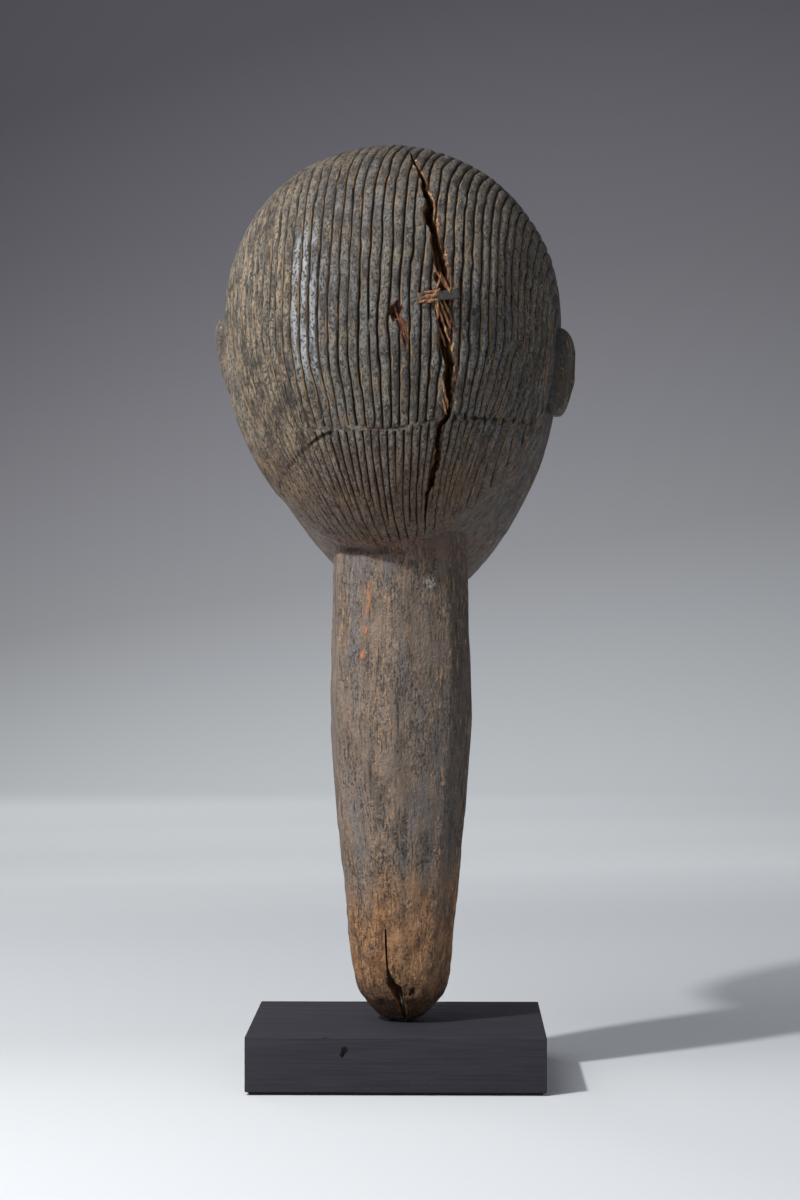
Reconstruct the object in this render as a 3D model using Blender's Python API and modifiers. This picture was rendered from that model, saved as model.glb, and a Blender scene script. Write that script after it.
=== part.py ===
"""Carved wooden doll head on a long neck, mounted on a black plinth.

Run it with: blender --background --python part.py

The frame is in metres with +Z up. The origin is the middle of the plinth's underside, on the surface
that it stands on. The back of the head faces -Y and the face looks towards +Y, turned a little to +X.
"""

import math

import bmesh
import bpy
import numpy as np
from mathutils import Matrix, Vector

MM = 0.001
GAP = 0.3 * MM  # clearance between pieces that touch

# Plinth and felt
PLINTH_WIDTH = 125 * MM
PLINTH_DEPTH = 108.5 * MM
PLINTH_TOP = 24 * MM
PLINTH_EDGE = 0.9 * MM
FELT_THICKNESS = 0.8 * MM
FELT_INSET = 1.5 * MM

# Mount rod and its fasteners, all on one vertical axis
ROD_X = 1.7 * MM
ROD_Y = -3.0 * MM
ROD_DIAMETER = 6 * MM
ROD_BOTTOM = 2.6 * MM
ROD_TOP = 82 * MM
COUNTERBORE_DIAMETER = 22 * MM
COUNTERBORE_TOP = 11.1 * MM
WASHER_DIAMETER = 18 * MM
WASHER_THICKNESS = 1.6 * MM
NUT_ACROSS_FLATS = 10 * MM
NUT_HEIGHT = 5 * MM

# Head: a form that is swept from ear to ear about its own centre
HEAD_X = -1.9 * MM
HEAD_Y = 4 * MM
HEAD_Z = 317 * MM
HEAD_TURN = math.radians(-9.5)  # the face looks a little to +X
HEAD_HALF_WIDTH = 71.7 * MM
CROWN_HEIGHT = 83.5 * MM
JAW_START = 17 * MM  # below the centre, where the sides begin to draw in
JAW_LENGTH = 87 * MM
# Outline in the middle plane, in millimetres from the head's centre: forwards, then upwards. It runs
# from the nape up the back, over the crown and down the face to the chin and throat.
HEAD_OUTLINE_MM = (
    (-37, -89), (-56, -74), (-71, -46), (-79, -8), (-77, 30), (-62, 60), (-34, 78), (0, 83.5),
    (34, 79), (62, 63), (80, 36), (86, 4), (83, -30), (80, -60), (76, -88), (62, -111),
    (36, -114), (6, -104), (-20, -96),
)  # fmt: skip
HEAD_SEGMENTS = 40
HEAD_RINGS = 28

# Neck: height, then radius, from the tip on the plinth to the end hidden in the head
NECK_STATIONS_MM = (
    (24.3, 4.6), (26.2, 9.4), (32.5, 15.6), (37, 18.8), (46, 21), (70, 23.5), (104, 26.6),
    (145, 30.1), (162, 30.5), (200, 29.5), (223, 29), (262, 27),
)  # fmt: skip
NECK_DEPTH_RATIO = 0.95
NECK_SIDES_SETTING = 4  # bevel resolution: twelve facets round the neck

# Ears and nose: centre from the head's centre (sideways, forwards, upwards), then half sizes
LEFT_EAR_MM = ((-72.5, 6, -4.5), (8, 9, 17.5))
RIGHT_EAR_MM = ((70.5, 6, -14), (8, 9, 19))
NOSE_MM = ((0, 83, -32), (9, 12, 20))

# Crack in the back of the head: height, left edge and right edge, from the top down
CRACK_STATIONS_MM = (
    (376, 11.4, 12.8), (366, 13.2, 14.8), (347, 15.6, 18.6), (334, 16.2, 21.4), (318, 17.0, 21.6),
    (300, 18.6, 24.0), (284, 20.8, 23.6), (277, 16.6, 20.4), (262, 15.2, 18.2), (248, 12.4, 14.2),
)  # fmt: skip
CRACK_BACK = -90 * MM  # behind the head
CRACK_BOTTOM = -44 * MM  # how far forwards the crack reaches

# Repair staple: where it crosses the crack, from the head's centre, and its size
STAPLE_SIDEWAYS = 32 * MM
STAPLE_UPWARDS = 11.5 * MM
STAPLE_LENGTH = 19 * MM
STAPLE_WIDTH = 3.8 * MM
STAPLE_THICKNESS = 1.2 * MM
STAPLE_STANDS_OUT = 0.5 * MM  # how far the strap's outer face stands proud of the wood
STAPLE_LEG = 10 * MM
STAPLE_TILT = math.radians(8)


def clear_scene():
    for thing in list(bpy.data.objects):
        bpy.data.objects.remove(thing, do_unlink=True)


def new_collection(name):
    collection = bpy.data.collections.new(name)
    bpy.context.scene.collection.children.link(collection)
    return collection


def linear(hex_colour):
    """An sRGB colour such as "6b6a66" as the linear numbers that a shader takes."""
    channels = [int(hex_colour[i : i + 2], 16) / 255 for i in (0, 2, 4)]
    return [c / 12.92 if c <= 0.04045 else ((c + 0.055) / 1.055) ** 2.4 for c in channels] + [1]


def make_material(name, hex_colour, roughness, metallic=0.0):
    material = bpy.data.materials.new(name)
    material.use_nodes = True
    shader = material.node_tree.nodes["Principled BSDF"]
    shader.inputs["Base Color"].default_value = linear(hex_colour)
    shader.inputs["Roughness"].default_value = roughness
    shader.inputs["Metallic"].default_value = metallic
    return material


def add_object(name, mesh_maker, collection, material=None):
    """A new object whose mesh is the bmesh that mesh_maker fills."""
    shape = bmesh.new()
    mesh_maker(shape)
    bmesh.ops.recalc_face_normals(shape, faces=shape.faces)
    mesh = bpy.data.meshes.new(name)
    shape.to_mesh(mesh)
    shape.free()
    return finish_object(name, mesh, collection, material)


def finish_object(name, mesh, collection, material):
    thing = bpy.data.objects.new(name, mesh)
    collection.objects.link(thing)
    if material:
        mesh.materials.clear()
        mesh.materials.append(material)
    mesh.shade_smooth()
    mesh.set_sharp_from_angle(angle=math.radians(35))
    return thing


def mesh_from_curve(curve, name, collection, material=None):
    """The closed mesh of a curve's solid, with its caps welded. The curve itself is removed."""
    source = bpy.data.objects.new(name, curve)
    collection.objects.link(source)
    graph = bpy.context.evaluated_depsgraph_get()
    mesh = bpy.data.meshes.new_from_object(source.evaluated_get(graph))
    place = source.matrix_world.copy()
    bpy.data.objects.remove(source, do_unlink=True)
    shape = bmesh.new()
    shape.from_mesh(mesh)
    bmesh.ops.remove_doubles(shape, verts=shape.verts, dist=0.01 * MM)
    bmesh.ops.recalc_face_normals(shape, faces=shape.faces)
    shape.to_mesh(mesh)
    shape.free()
    thing = finish_object(name, mesh, collection, material)
    thing.matrix_world = place
    return thing


def as_cutter(thing):
    thing.hide_render = True
    thing.display_type = "WIRE"
    return thing


def add_boolean(target, other, operation):
    modifier = target.modifiers.new(operation.title() + " " + other.name, "BOOLEAN")
    modifier.operation = operation
    modifier.object = other
    modifier.solver = "EXACT"


def add_bevel(target, width, segments=2):
    modifier = target.modifiers.new("Edge", "BEVEL")
    modifier.width = width
    modifier.segments = segments
    modifier.limit_method = "ANGLE"


def block(size, place=(0, 0, 0)):
    """A mesh maker for a box of this size, centred on place."""

    def make(shape):
        bmesh.ops.create_cube(shape, size=1, matrix=Matrix.Translation(place) @ Matrix.Diagonal((*size, 1)))

    return make


def upright_cylinder(radius, bottom, top, segments=32):
    """A mesh maker for a cylinder on the rod's axis."""
    place = Matrix.Translation((ROD_X, ROD_Y, (bottom + top) / 2))

    def make(shape):
        bmesh.ops.create_cone(
            shape,
            cap_ends=True,
            segments=segments,
            radius1=radius,
            radius2=radius,
            depth=top - bottom,
            matrix=place,
        )

    return make


# ---------------------------------------------------------------- the form of the head


def closed_curve(points, steps=12):
    """A closed Catmull-Rom curve through the points."""
    points = np.array(points, float)
    before, after, beyond = (np.roll(points, shift, axis=0) for shift in (1, -1, -2))
    found = []
    for t in np.arange(steps) / steps:
        found.append(
            0.5
            * (
                2 * points
                + (after - before) * t
                + (2 * before - 5 * points + 4 * after - beyond) * t**2
                + (3 * points - before - 3 * after + beyond) * t**3
            )
        )
    return np.stack(found, axis=1).reshape(-1, 2)


OUTLINE = closed_curve(HEAD_OUTLINE_MM) * MM
OUTLINE_ANGLES = np.arctan2(OUTLINE[:, 1], OUTLINE[:, 0])
OUTLINE_REACHES = np.hypot(OUTLINE[:, 0], OUTLINE[:, 1])


def widening(height):
    """How much wider or narrower the head is at a height above its centre than a plain ellipse."""
    if height > 0:
        return 1 + 0.09 * min(height / CROWN_HEIGHT, 1)
    return 1 - 0.17 * max(0.0, (-height - JAW_START) / JAW_LENGTH) ** 1.6


def head_place():
    return Matrix.Translation((HEAD_X, HEAD_Y, HEAD_Z)) @ Matrix.Rotation(HEAD_TURN, 4, "Z")


def on_head(sideways, forwards, upwards):
    """The head's surface in a direction from its centre, in the head's own frame."""
    angle = math.atan2(upwards, forwards)
    reach = np.interp(angle, OUTLINE_ANGLES, OUTLINE_REACHES, period=2 * math.pi)
    height = reach * upwards
    return Vector((HEAD_HALF_WIDTH * sideways * widening(height), reach * forwards, height))


def make_head(shape):
    """A sphere with its poles at the ears, each point moved out to the head's surface."""
    bmesh.ops.create_uvsphere(
        shape,
        u_segments=HEAD_SEGMENTS,
        v_segments=HEAD_RINGS,
        radius=1,
        matrix=Matrix.Rotation(math.radians(90), 4, "Y"),
    )
    for vertex in shape.verts:
        vertex.co = head_place() @ on_head(*vertex.co)


def ellipsoid_on_head(centre_and_half_sizes):
    """A mesh maker for an ellipsoid in the head's own frame."""
    centre, half_sizes = (Vector(values) * MM for values in centre_and_half_sizes)

    def make(shape):
        place = head_place() @ Matrix.Translation(centre) @ Matrix.Diagonal((*half_sizes, 1))
        bmesh.ops.create_uvsphere(shape, u_segments=16, v_segments=12, radius=1, matrix=place)

    return make


# ---------------------------------------------------------------- the carving


def make_neck(collection):
    """A tapering peg: a curve up the neck's axis, with a radius at each height."""
    curve = bpy.data.curves.new("neck", "CURVE")
    curve.dimensions = "3D"
    curve.bevel_depth = MM
    curve.bevel_resolution = NECK_SIDES_SETTING
    curve.use_fill_caps = True
    spline = curve.splines.new("POLY")
    spline.points.add(len(NECK_STATIONS_MM) - 1)
    for point, (height, radius) in zip(spline.points, NECK_STATIONS_MM, strict=True):
        point.co = (0, 0, height * MM, 1)
        point.radius = radius
    neck = mesh_from_curve(curve, "neck", collection)
    neck.data.transform(Matrix.Translation((ROD_X, ROD_Y, 0)) @ Matrix.Diagonal((1, NECK_DEPTH_RATIO, 1, 1)))
    return neck


def flat_outline(name, points, half_depth, collection, material=None):
    """The closed mesh of a flat outline, extruded by half_depth to both sides of its plane."""
    curve = bpy.data.curves.new(name, "CURVE")
    curve.dimensions = "2D"
    curve.fill_mode = "BOTH"
    curve.extrude = half_depth
    spline = curve.splines.new("POLY")
    spline.points.add(len(points) - 1)
    for point, (across, along) in zip(spline.points, points, strict=True):
        point.co = (across, along, 0, 1)
    spline.use_cyclic_u = True
    return mesh_from_curve(curve, name, collection, material)


def make_crack(collection):
    """The crack's outline as seen from behind, cut straight forwards into the head."""
    left = [(x * MM, z * MM) for z, x, _ in CRACK_STATIONS_MM]
    right = [(x * MM, z * MM) for z, _, x in reversed(CRACK_STATIONS_MM)]
    half_depth = (CRACK_BOTTOM - CRACK_BACK) / 2
    crack = flat_outline("crack", left + right, half_depth, collection)
    middle = Matrix.Translation((0, CRACK_BACK + half_depth, 0))
    crack.data.transform(middle @ Matrix.Rotation(math.radians(90), 4, "X"))
    return crack


def back_of_head(sideways, upwards):
    """The point on the back of the head at this place beside and above its centre."""
    across = sideways / (HEAD_HALF_WIDTH * widening(upwards))
    round_it = math.sqrt(1 - across**2)
    angle = math.pi
    for _ in range(8):
        reach = np.interp(angle, OUTLINE_ANGLES, OUTLINE_REACHES, period=2 * math.pi)
        angle = math.pi - math.asin(upwards / (reach * round_it))
    return head_place() @ on_head(across, round_it * math.cos(angle), round_it * math.sin(angle))


def staple_place():
    """The staple's frame on the back of the head: X along the strap, Y into the wood, Z up."""
    step = MM
    here = back_of_head(STAPLE_SIDEWAYS, STAPLE_UPWARDS)
    across = (back_of_head(STAPLE_SIDEWAYS + step, STAPLE_UPWARDS) - here).normalized()
    above = back_of_head(STAPLE_SIDEWAYS, STAPLE_UPWARDS + step) - here
    into = above.cross(across).normalized()
    axes = Matrix((across, into, across.cross(into))).transposed().to_4x4()
    return Matrix.Translation(here) @ axes @ Matrix.Rotation(-STAPLE_TILT, 4, "Y")


def make_staple(name, grow, collection, material=None):
    """A flat strap with a leg at each end, or with grow its seat, that much larger all round."""
    end = STAPLE_LENGTH / 2 + grow
    inner_end = STAPLE_LENGTH / 2 - STAPLE_THICKNESS - grow
    outer_face = -STAPLE_STANDS_OUT - grow
    inner_face = STAPLE_THICKNESS - STAPLE_STANDS_OUT + grow
    tip = STAPLE_LEG + grow
    points = [(-end, outer_face), (end, outer_face), (end, tip), (inner_end, tip)]
    points += [(inner_end, inner_face), (-inner_end, inner_face), (-inner_end, tip), (-end, tip)]
    staple = flat_outline(name, points, STAPLE_WIDTH / 2 + grow, collection, material)
    staple.data.transform(staple_place())
    return staple


def make_carving(parts, cutters, wood):
    """Head, ears, nose and neck in one block, less the crack, the staple's seat and the rod's bore."""
    carving = add_object("doll_carving", make_head, parts, wood)
    joined = [
        add_object("left_ear", ellipsoid_on_head(LEFT_EAR_MM), cutters),
        add_object("right_ear", ellipsoid_on_head(RIGHT_EAR_MM), cutters),
        add_object("nose", ellipsoid_on_head(NOSE_MM), cutters),
        make_neck(cutters),
    ]
    bore = upright_cylinder(ROD_DIAMETER / 2 + GAP, 0, ROD_TOP + GAP, segments=24)
    cut = [
        make_crack(cutters),
        make_staple("staple_seat", GAP, cutters),
        add_object("rod_bore", bore, cutters),
    ]
    for thing in joined:
        add_boolean(carving, as_cutter(thing), "UNION")
    for thing in cut:
        add_boolean(carving, as_cutter(thing), "DIFFERENCE")
    return carving


# ---------------------------------------------------------------- the plinth and its mount


def make_plinth(parts, cutters, stained_wood):
    bottom = FELT_THICKNESS + GAP
    size = (PLINTH_WIDTH, PLINTH_DEPTH, PLINTH_TOP - bottom)
    plinth = add_object("plinth_block", block(size, (0, 0, (PLINTH_TOP + bottom) / 2)), parts, stained_wood)
    add_bevel(plinth, PLINTH_EDGE)
    hole = upright_cylinder(ROD_DIAMETER / 2 + GAP, 0, PLINTH_TOP + 1 * MM, segments=24)
    counterbore = upright_cylinder(COUNTERBORE_DIAMETER / 2, 0, COUNTERBORE_TOP)
    for name, maker in (("rod_hole", hole), ("counterbore", counterbore)):
        add_boolean(plinth, as_cutter(add_object(name, maker, cutters)), "DIFFERENCE")
    return plinth


def make_washer(parts, steel):
    """A flat ring: its section, turned about the rod's axis."""
    inner = ROD_DIAMETER / 2 + GAP
    outer = WASHER_DIAMETER / 2
    top = COUNTERBORE_TOP - GAP
    bottom = top - WASHER_THICKNESS
    mesh = bpy.data.meshes.new("rod_washer")
    section = [(outer, 0, top), (outer, 0, bottom), (inner, 0, bottom), (inner, 0, top)]
    mesh.from_pydata(section, [(0, 1), (1, 2), (2, 3), (3, 0)], [])
    washer = finish_object("rod_washer", mesh, parts, steel)
    washer.location = (ROD_X, ROD_Y, 0)
    screw = washer.modifiers.new("Turn", "SCREW")
    screw.steps = screw.render_steps = 32
    screw.use_merge_vertices = True
    screw.merge_threshold = 0.01 * MM
    return washer


def make_nut(parts, cutters, steel):
    top = COUNTERBORE_TOP - 2 * GAP - WASHER_THICKNESS
    corner_radius = NUT_ACROSS_FLATS / 2 / math.cos(math.radians(30))
    nut = add_object("rod_nut", upright_cylinder(corner_radius, top - NUT_HEIGHT, top, 6), parts, steel)
    thread = upright_cylinder(ROD_DIAMETER / 2 + GAP, 0, PLINTH_TOP, segments=24)
    add_boolean(nut, as_cutter(add_object("nut_thread", thread, cutters)), "DIFFERENCE")
    return nut


def make_rod(parts, steel):
    rod = add_object("mount_rod", upright_cylinder(ROD_DIAMETER / 2, ROD_BOTTOM, ROD_TOP, 24), parts, steel)
    add_bevel(rod, 0.6 * MM, segments=1)
    return rod


def make_felt(parts, felt):
    size = (PLINTH_WIDTH - 2 * FELT_INSET, PLINTH_DEPTH - 2 * FELT_INSET, FELT_THICKNESS)
    return add_object("underside_felt", block(size, (0, 0, FELT_THICKNESS / 2)), parts, felt)


def main():
    clear_scene()
    parts = new_collection("carved_doll_on_plinth")
    cutters = new_collection("cutters")
    steel = make_material("zinc-plated steel", "9a9a96", 0.35, 1.0)
    make_carving(parts, cutters, make_material("smoked hardwood", "5a5148", 0.6))
    iron = make_material("forged iron", "4c4a48", 0.55, 1.0)
    make_staple("repair_staple", 0, parts, iron)
    make_plinth(parts, cutters, make_material("black-stained wood", "38373c", 0.45))
    make_rod(parts, steel)
    make_washer(parts, steel)
    make_nut(parts, cutters, steel)
    make_felt(parts, make_material("black felt", "1c1c1e", 0.95))


main()
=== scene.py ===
"""The looks of a carved wooden doll head on a black plinth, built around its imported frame.

The file is laid out as an add-on: the sizes and colours that a user would change are properties, each
group of pieces is an operator, and one panel lists them. Lengths inside the functions are millimetres,
in the frame's own axes: +Z up, the back of the head towards -Y, the origin under the middle of the felt.
"""

import itertools
import math

import bmesh
import bpy
import numpy as np
from mathutils import Matrix, Vector, kdtree


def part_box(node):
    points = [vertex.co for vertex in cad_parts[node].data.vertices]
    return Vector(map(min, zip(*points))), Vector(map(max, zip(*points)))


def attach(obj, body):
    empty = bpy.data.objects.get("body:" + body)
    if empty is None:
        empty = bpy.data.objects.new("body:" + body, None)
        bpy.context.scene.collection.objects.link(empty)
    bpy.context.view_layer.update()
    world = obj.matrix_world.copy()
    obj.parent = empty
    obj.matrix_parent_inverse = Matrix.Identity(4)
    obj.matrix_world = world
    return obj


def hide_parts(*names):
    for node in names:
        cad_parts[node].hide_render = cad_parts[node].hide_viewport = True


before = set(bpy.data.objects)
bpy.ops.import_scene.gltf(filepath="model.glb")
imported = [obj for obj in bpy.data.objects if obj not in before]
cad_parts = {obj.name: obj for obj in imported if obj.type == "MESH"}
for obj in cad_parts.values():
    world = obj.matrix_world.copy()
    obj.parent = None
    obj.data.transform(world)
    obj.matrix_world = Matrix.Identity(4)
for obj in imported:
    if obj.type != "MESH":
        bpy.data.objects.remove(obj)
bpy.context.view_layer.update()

bl_info = {
    "name": "Carved Doll on a Plinth",
    "version": (1, 0, 0),
    "blender": (4, 5, 0),
    "location": "View3D > Sidebar > Carved Doll",
    "description": "Builds a carved wooden doll head with combed hair, its iron repair and its display mount",
    "category": "Object",
}

MM = 0.001

# The frame's own measures, in millimetres, which every piece here keeps to
ROD_X, ROD_Y = 1.7, -3.0
BORE_RADIUS = 3.3
BORE_TOP = 82.3
COUNTERBORE_RADIUS, COUNTERBORE_TOP = 11, 11.1
BELOW_PLINTH, ABOVE_PLINTH = -5, 30  # where cutters through the plinth start and end
HEAD_CENTRE = np.array((-1.9, 4.0, 317.0))
HEAD_TURN = math.radians(-9.5)
HEAD_HALF_WIDTH = 71.7
CROWN_HEIGHT = 83.5
JAW_START = 17.0
JAW_LENGTH = 87.0
# The head's outline in its middle plane, forwards and upwards from its centre, from the nape up the
# back, over the crown and down the face to the throat
HEAD_OUTLINE = (
    (-37, -89), (-56, -74), (-71, -46), (-79, -8), (-77, 30), (-62, 60), (-34, 78), (0, 83.5),
    (34, 79), (62, 63), (80, 36), (86, 4), (83, -30), (80, -60), (76, -88), (62, -111),
    (36, -114), (6, -104), (-20, -96),
)  # fmt: skip
# Height, then radius of the neck, from its tip to its end hidden in the head
NECK_STATIONS = (
    (24.3, 4.6), (26.2, 9.4), (32.5, 15.6), (37, 18.8), (46, 21), (70, 23.5), (104, 26.6),
    (145, 30.1), (162, 30.5), (200, 29.5), (223, 29), (262, 27),
)  # fmt: skip
NECK_DEPTH_RATIO = 0.95
NECK_TOP = 224.5  # where the neck's edge shows against the nape

# Hair: combed grooves that run over the head in planes through the ears
COLUMNS_PER_GROOVE = 6
LAST_FINE_COLUMN = 150  # counted from the middle of the head
COARSE_COLUMNS = (153, 157)  # between the last fine column and the point under each ear
V_AXIS = 9.5  # degrees beside the head's middle, where the grooves draw together above the neck
HAIRLINE_TILT = math.radians(35)  # how far the plane of the hairline leans forwards at its top
HAIRLINE_REACH = 31.8  # how far that plane lies in front of the head's centre
BAND_LEFT, BAND_RIGHT = 274.7, 279.6  # heights of the cut line that divides the hair
FADE_HEIGHT = 241.0  # where every other groove has ended
HAIR_BOTTOM = 91  # how far the hair's lower edge lies below the head's centre
NAPE_DROP = 89  # how far the nape lies below it
BARE_ROUND_EAR = (16, 25)  # half sizes of the bare patch round each ear
PRICK_SPACING = 4.1
HAIR_RISE = 0.4  # how far the hair stands proud of the frame's surface, and the skin lies under it

# Painted light and shade on the background paper: its tones, by the share of the way from the plinth to the
# top, stand in for how the lamps light it
PAPER_LIGHT_AND_SHADE = (
    (0.04, "cfd2d4"), (0.12, "dee2e4"), (0.2, "ebeeef"), (0.25, "e9eced"), (0.31, "d2d6d7"), (0.4, "c0c3c5"),
    (0.47, "bdc1c3"), (0.56, "a9adaf"), (0.62, "9b9ea0"), (0.71, "808184"), (0.85, "656469"),
)  # fmt: skip
PAINTED_LIGHT_TILT = 0.31
BACKDROP_LENGTH = 3.8  # metres along the paper, from under the object to the top of what shows

# Marks on the carving's points: in a groove, in the hair, and how freshly broken
MARKS = ("groove", "hair", "raw")
SKIN, OLD_BREAK, CHIPPED_EDGE, FRESH_BREAK = 0, 0.5, 0.85, 1
STAIN_CENTRE = (14.5, -26.6, 212.5)  # a pale round stain on the back of the neck
WORN_EDGE_LEAN = 0.1165  # how far the worn edge moves sideways for each millimetre up
RUBBED_RAGGEDNESS = 70  # how far the end of the rubbed wood wanders up and down, in millimetres

# Neck facets: the edges' directions, in degrees round from the back towards +X
NECK_EDGES = (-95, -65, -29, -2, 42, 75, 110, 150, 190, 230)


# ---------------------------------------------------------------- numbers


def linear(hex_colour):
    """An sRGB colour such as "6b6a66" as the linear red, green, blue and alpha that a shader takes."""
    channels = [int(hex_colour[i : i + 2], 16) / 255 for i in (0, 2, 4)]
    return [c / 12.92 if c <= 0.04045 else ((c + 0.055) / 1.055) ** 2.4 for c in channels] + [1]


def smooth_step(value, low, high):
    """0 up to low, 1 from high on and a smooth ramp between. It falls if low is the larger."""
    part = np.clip((np.asarray(value, float) - low) / (high - low), 0, 1)
    return part * part * (3 - 2 * part)


def lump(distance):
    """A soft round bump: 1 at the middle, falling to almost nothing at a distance of 2."""
    return np.exp(-(distance**2))


def soft_noise(points, size, seed):
    """Smooth noise from -1 to 1 at points of shape (..., 3). size is that of a lump, or one for each axis."""
    cell = np.asarray(points, float) / size
    base = np.floor(cell).astype(np.int64)
    part = cell - base
    part = part * part * (3 - 2 * part)
    total = np.zeros(cell.shape[:-1])
    for corner in itertools.product((0, 1), repeat=3):
        key = base + corner
        mixed = key[..., 0] * 73856093 ^ key[..., 1] * 19349663 ^ key[..., 2] * 83492791 ^ seed * 265443
        mixed = (mixed & 0x7FFFFFFF) * 1103515245 + 12345 & 0x7FFFFFFF
        mixed = (mixed ^ mixed >> 13) * 1274126177 & 0x7FFFFFFF
        height = (mixed >> 8 & 0xFFFF) / 32767.5 - 1
        total += height * np.prod(np.where(corner, part, 1 - part), axis=-1)
    return total


def noise_on_lines(line, along, seed):
    """Smooth noise over two coordinates that are already in lumps."""
    line, along = np.broadcast_arrays(line, along)
    return soft_noise(np.stack([line, along, np.full(line.shape, 0.5)], axis=-1), 1.0, seed)


def full_turn(count):
    """That many directions, spread evenly round a full turn, in radians."""
    return np.linspace(0, 2 * math.pi, count, endpoint=False)


def squared_off(wave, power):
    """A sine or cosine drawn out from a circle towards a square by a power below 1."""
    return np.sign(wave) * np.abs(wave) ** power


def smooth_curve(points, closed, steps=12):
    """A Catmull-Rom curve through the points."""
    points = np.array(points, float)
    if not closed:
        points = np.vstack([2 * points[0] - points[1], points, 2 * points[-1] - points[-2]])
    before, after, beyond = (np.roll(points, shift, axis=0) for shift in (1, -1, -2))
    found = []
    for t in np.arange(steps) / steps:
        linear_part = 2 * points + (after - before) * t
        curved_part = (2 * before - 5 * points + 4 * after - beyond) * t**2
        cubic_part = (3 * points - before - 3 * after + beyond) * t**3
        found.append((linear_part + curved_part + cubic_part) / 2)
    curve = np.stack(found, axis=1).reshape(-1, points.shape[1])
    return curve if closed else curve[steps : -2 * steps + 1]


# ---------------------------------------------------------------- meshes


def as_object(name, shape):
    """A new object in the scene from a bmesh, which is then freed."""
    mesh = bpy.data.meshes.new(name)
    shape.to_mesh(mesh)
    shape.free()
    thing = bpy.data.objects.new(name, mesh)
    bpy.context.scene.collection.objects.link(thing)
    return thing


def new_piece(name, points, faces):
    """A new object from points in millimetres and faces, with its faces turned outwards."""
    shape = bmesh.new()
    vertices = [shape.verts.new(point) for point in (np.asarray(points) * MM).tolist()]
    for face in faces:
        shape.faces.new([vertices[index] for index in face])
    bmesh.ops.recalc_face_normals(shape, faces=shape.faces)
    return as_object(name, shape)


def joined(name, pieces):
    """One object from several closed shapes."""
    shape = bmesh.new()
    for piece in pieces:
        shape.from_mesh(piece.data)
        bpy.data.objects.remove(piece, do_unlink=True)
    return as_object(name, shape)


def grid_faces(rows, columns, closed_rows=False, closed_columns=False):
    """Faces of a grid of points. Closed rows or columns carry on from the last one to the first."""
    faces = []
    for row in range(rows if closed_rows else rows - 1):
        near, far = row * columns, (row + 1) % rows * columns
        for column in range(columns if closed_columns else columns - 1):
            beside = (column + 1) % columns
            faces.append((near + column, near + beside, far + beside, far + column))
    return faces


def lofted(name, rings):
    """A closed solid through rings of points, shape (rings, points, 3), with a fan at each end."""
    rings = np.asarray(rings, float)
    count, around = rings.shape[:2]
    ends = rings[[0, -1]].mean(axis=1)
    points = np.vstack([rings.reshape(-1, 3), ends])
    first_cap, last_cap = count * around, count * around + 1
    last_ring = (count - 1) * around
    faces = grid_faces(count, around, closed_columns=True)
    for step in range(around):
        beside = (step + 1) % around
        faces += [(first_cap, beside, step), (last_cap, last_ring + step, last_ring + beside)]
    return new_piece(name, points, faces)


def ring_solid(name, sections):
    """A closed ring through sections of points, shape (sections, points, 3)."""
    faces = grid_faces(*sections.shape[:2], closed_rows=True, closed_columns=True)
    return new_piece(name, sections.reshape(-1, 3), faces)


def about_rod(radii, turned, heights):
    """Points at these distances from the rod's axis, directions round it and heights."""
    across, along = ROD_X + radii * np.cos(turned), ROD_Y + radii * np.sin(turned)
    return np.stack(np.broadcast_arrays(across, along, heights), axis=-1)


def in_mm(corners):
    """The low and high corners of a box, from metres to millimetres."""
    return [np.array(corner) / MM for corner in corners]


def block_between(low, high):
    """A bmesh block between two corners given in millimetres."""
    shape = bmesh.new()
    place = Matrix.Translation((high + low) / 2 * MM) @ Matrix.Diagonal((*((high - low) * MM), 1))
    bmesh.ops.create_cube(shape, size=1, matrix=place)
    return shape


def boolean(target, other, operation):
    """Joins or cuts target with other, which is then removed."""
    modifier = target.modifiers.new(operation, "BOOLEAN")
    modifier.operation = operation
    modifier.object = other
    modifier.solver = "MANIFOLD"
    bpy.context.view_layer.update()
    graph = bpy.context.evaluated_depsgraph_get()
    made = bpy.data.meshes.new_from_object(target.evaluated_get(graph))
    if not made.polygons:
        raise RuntimeError(f"{operation} with {other.name} left nothing of {target.name}")
    target.modifiers.clear()
    target.data = made
    bpy.data.objects.remove(other, do_unlink=True)


def finish_piece(thing, material, body, slot, *nodes, sharp=40):
    """Gives a piece its shading and material, puts it in its body and hides the frame's nodes that it stands
    for. slot is not used.
    """
    thing.data.materials.clear()
    thing.data.materials.append(material)
    thing.data.shade_smooth()
    thing.data.set_sharp_from_angle(angle=math.radians(sharp))
    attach(thing, body)
    if nodes:
        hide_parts(*nodes)


def points_of(thing):
    """A piece's points in millimetres."""
    found = np.empty(len(thing.data.vertices) * 3)
    thing.data.vertices.foreach_get("co", found)
    return found.reshape(-1, 3) / MM


# ---------------------------------------------------------------- materials


def add_node(tree, kind, inputs=(), **settings):
    """Adds a node. inputs maps a socket's name or number to a value or to the socket that feeds it."""
    node = tree.nodes.new(kind)
    for name, value in settings.items():
        setattr(node, name, value)
    for key, value in dict(inputs).items():
        if isinstance(value, bpy.types.NodeSocket):
            tree.links.new(value, node.inputs[key])
        else:
            node.inputs[key].default_value = value
    return node


def new_material(name, **sockets):
    """A material, its tree and its shader. What is the same all over is set on the shader's own sockets."""
    material = bpy.data.materials.new(name)
    material.use_nodes = True
    shader = material.node_tree.nodes["Principled BSDF"]
    for key, value in sockets.items():
        shader.inputs[key.replace("_", " ").title().replace("Ior", "IOR")].default_value = value
    return material, material.node_tree, shader


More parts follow.
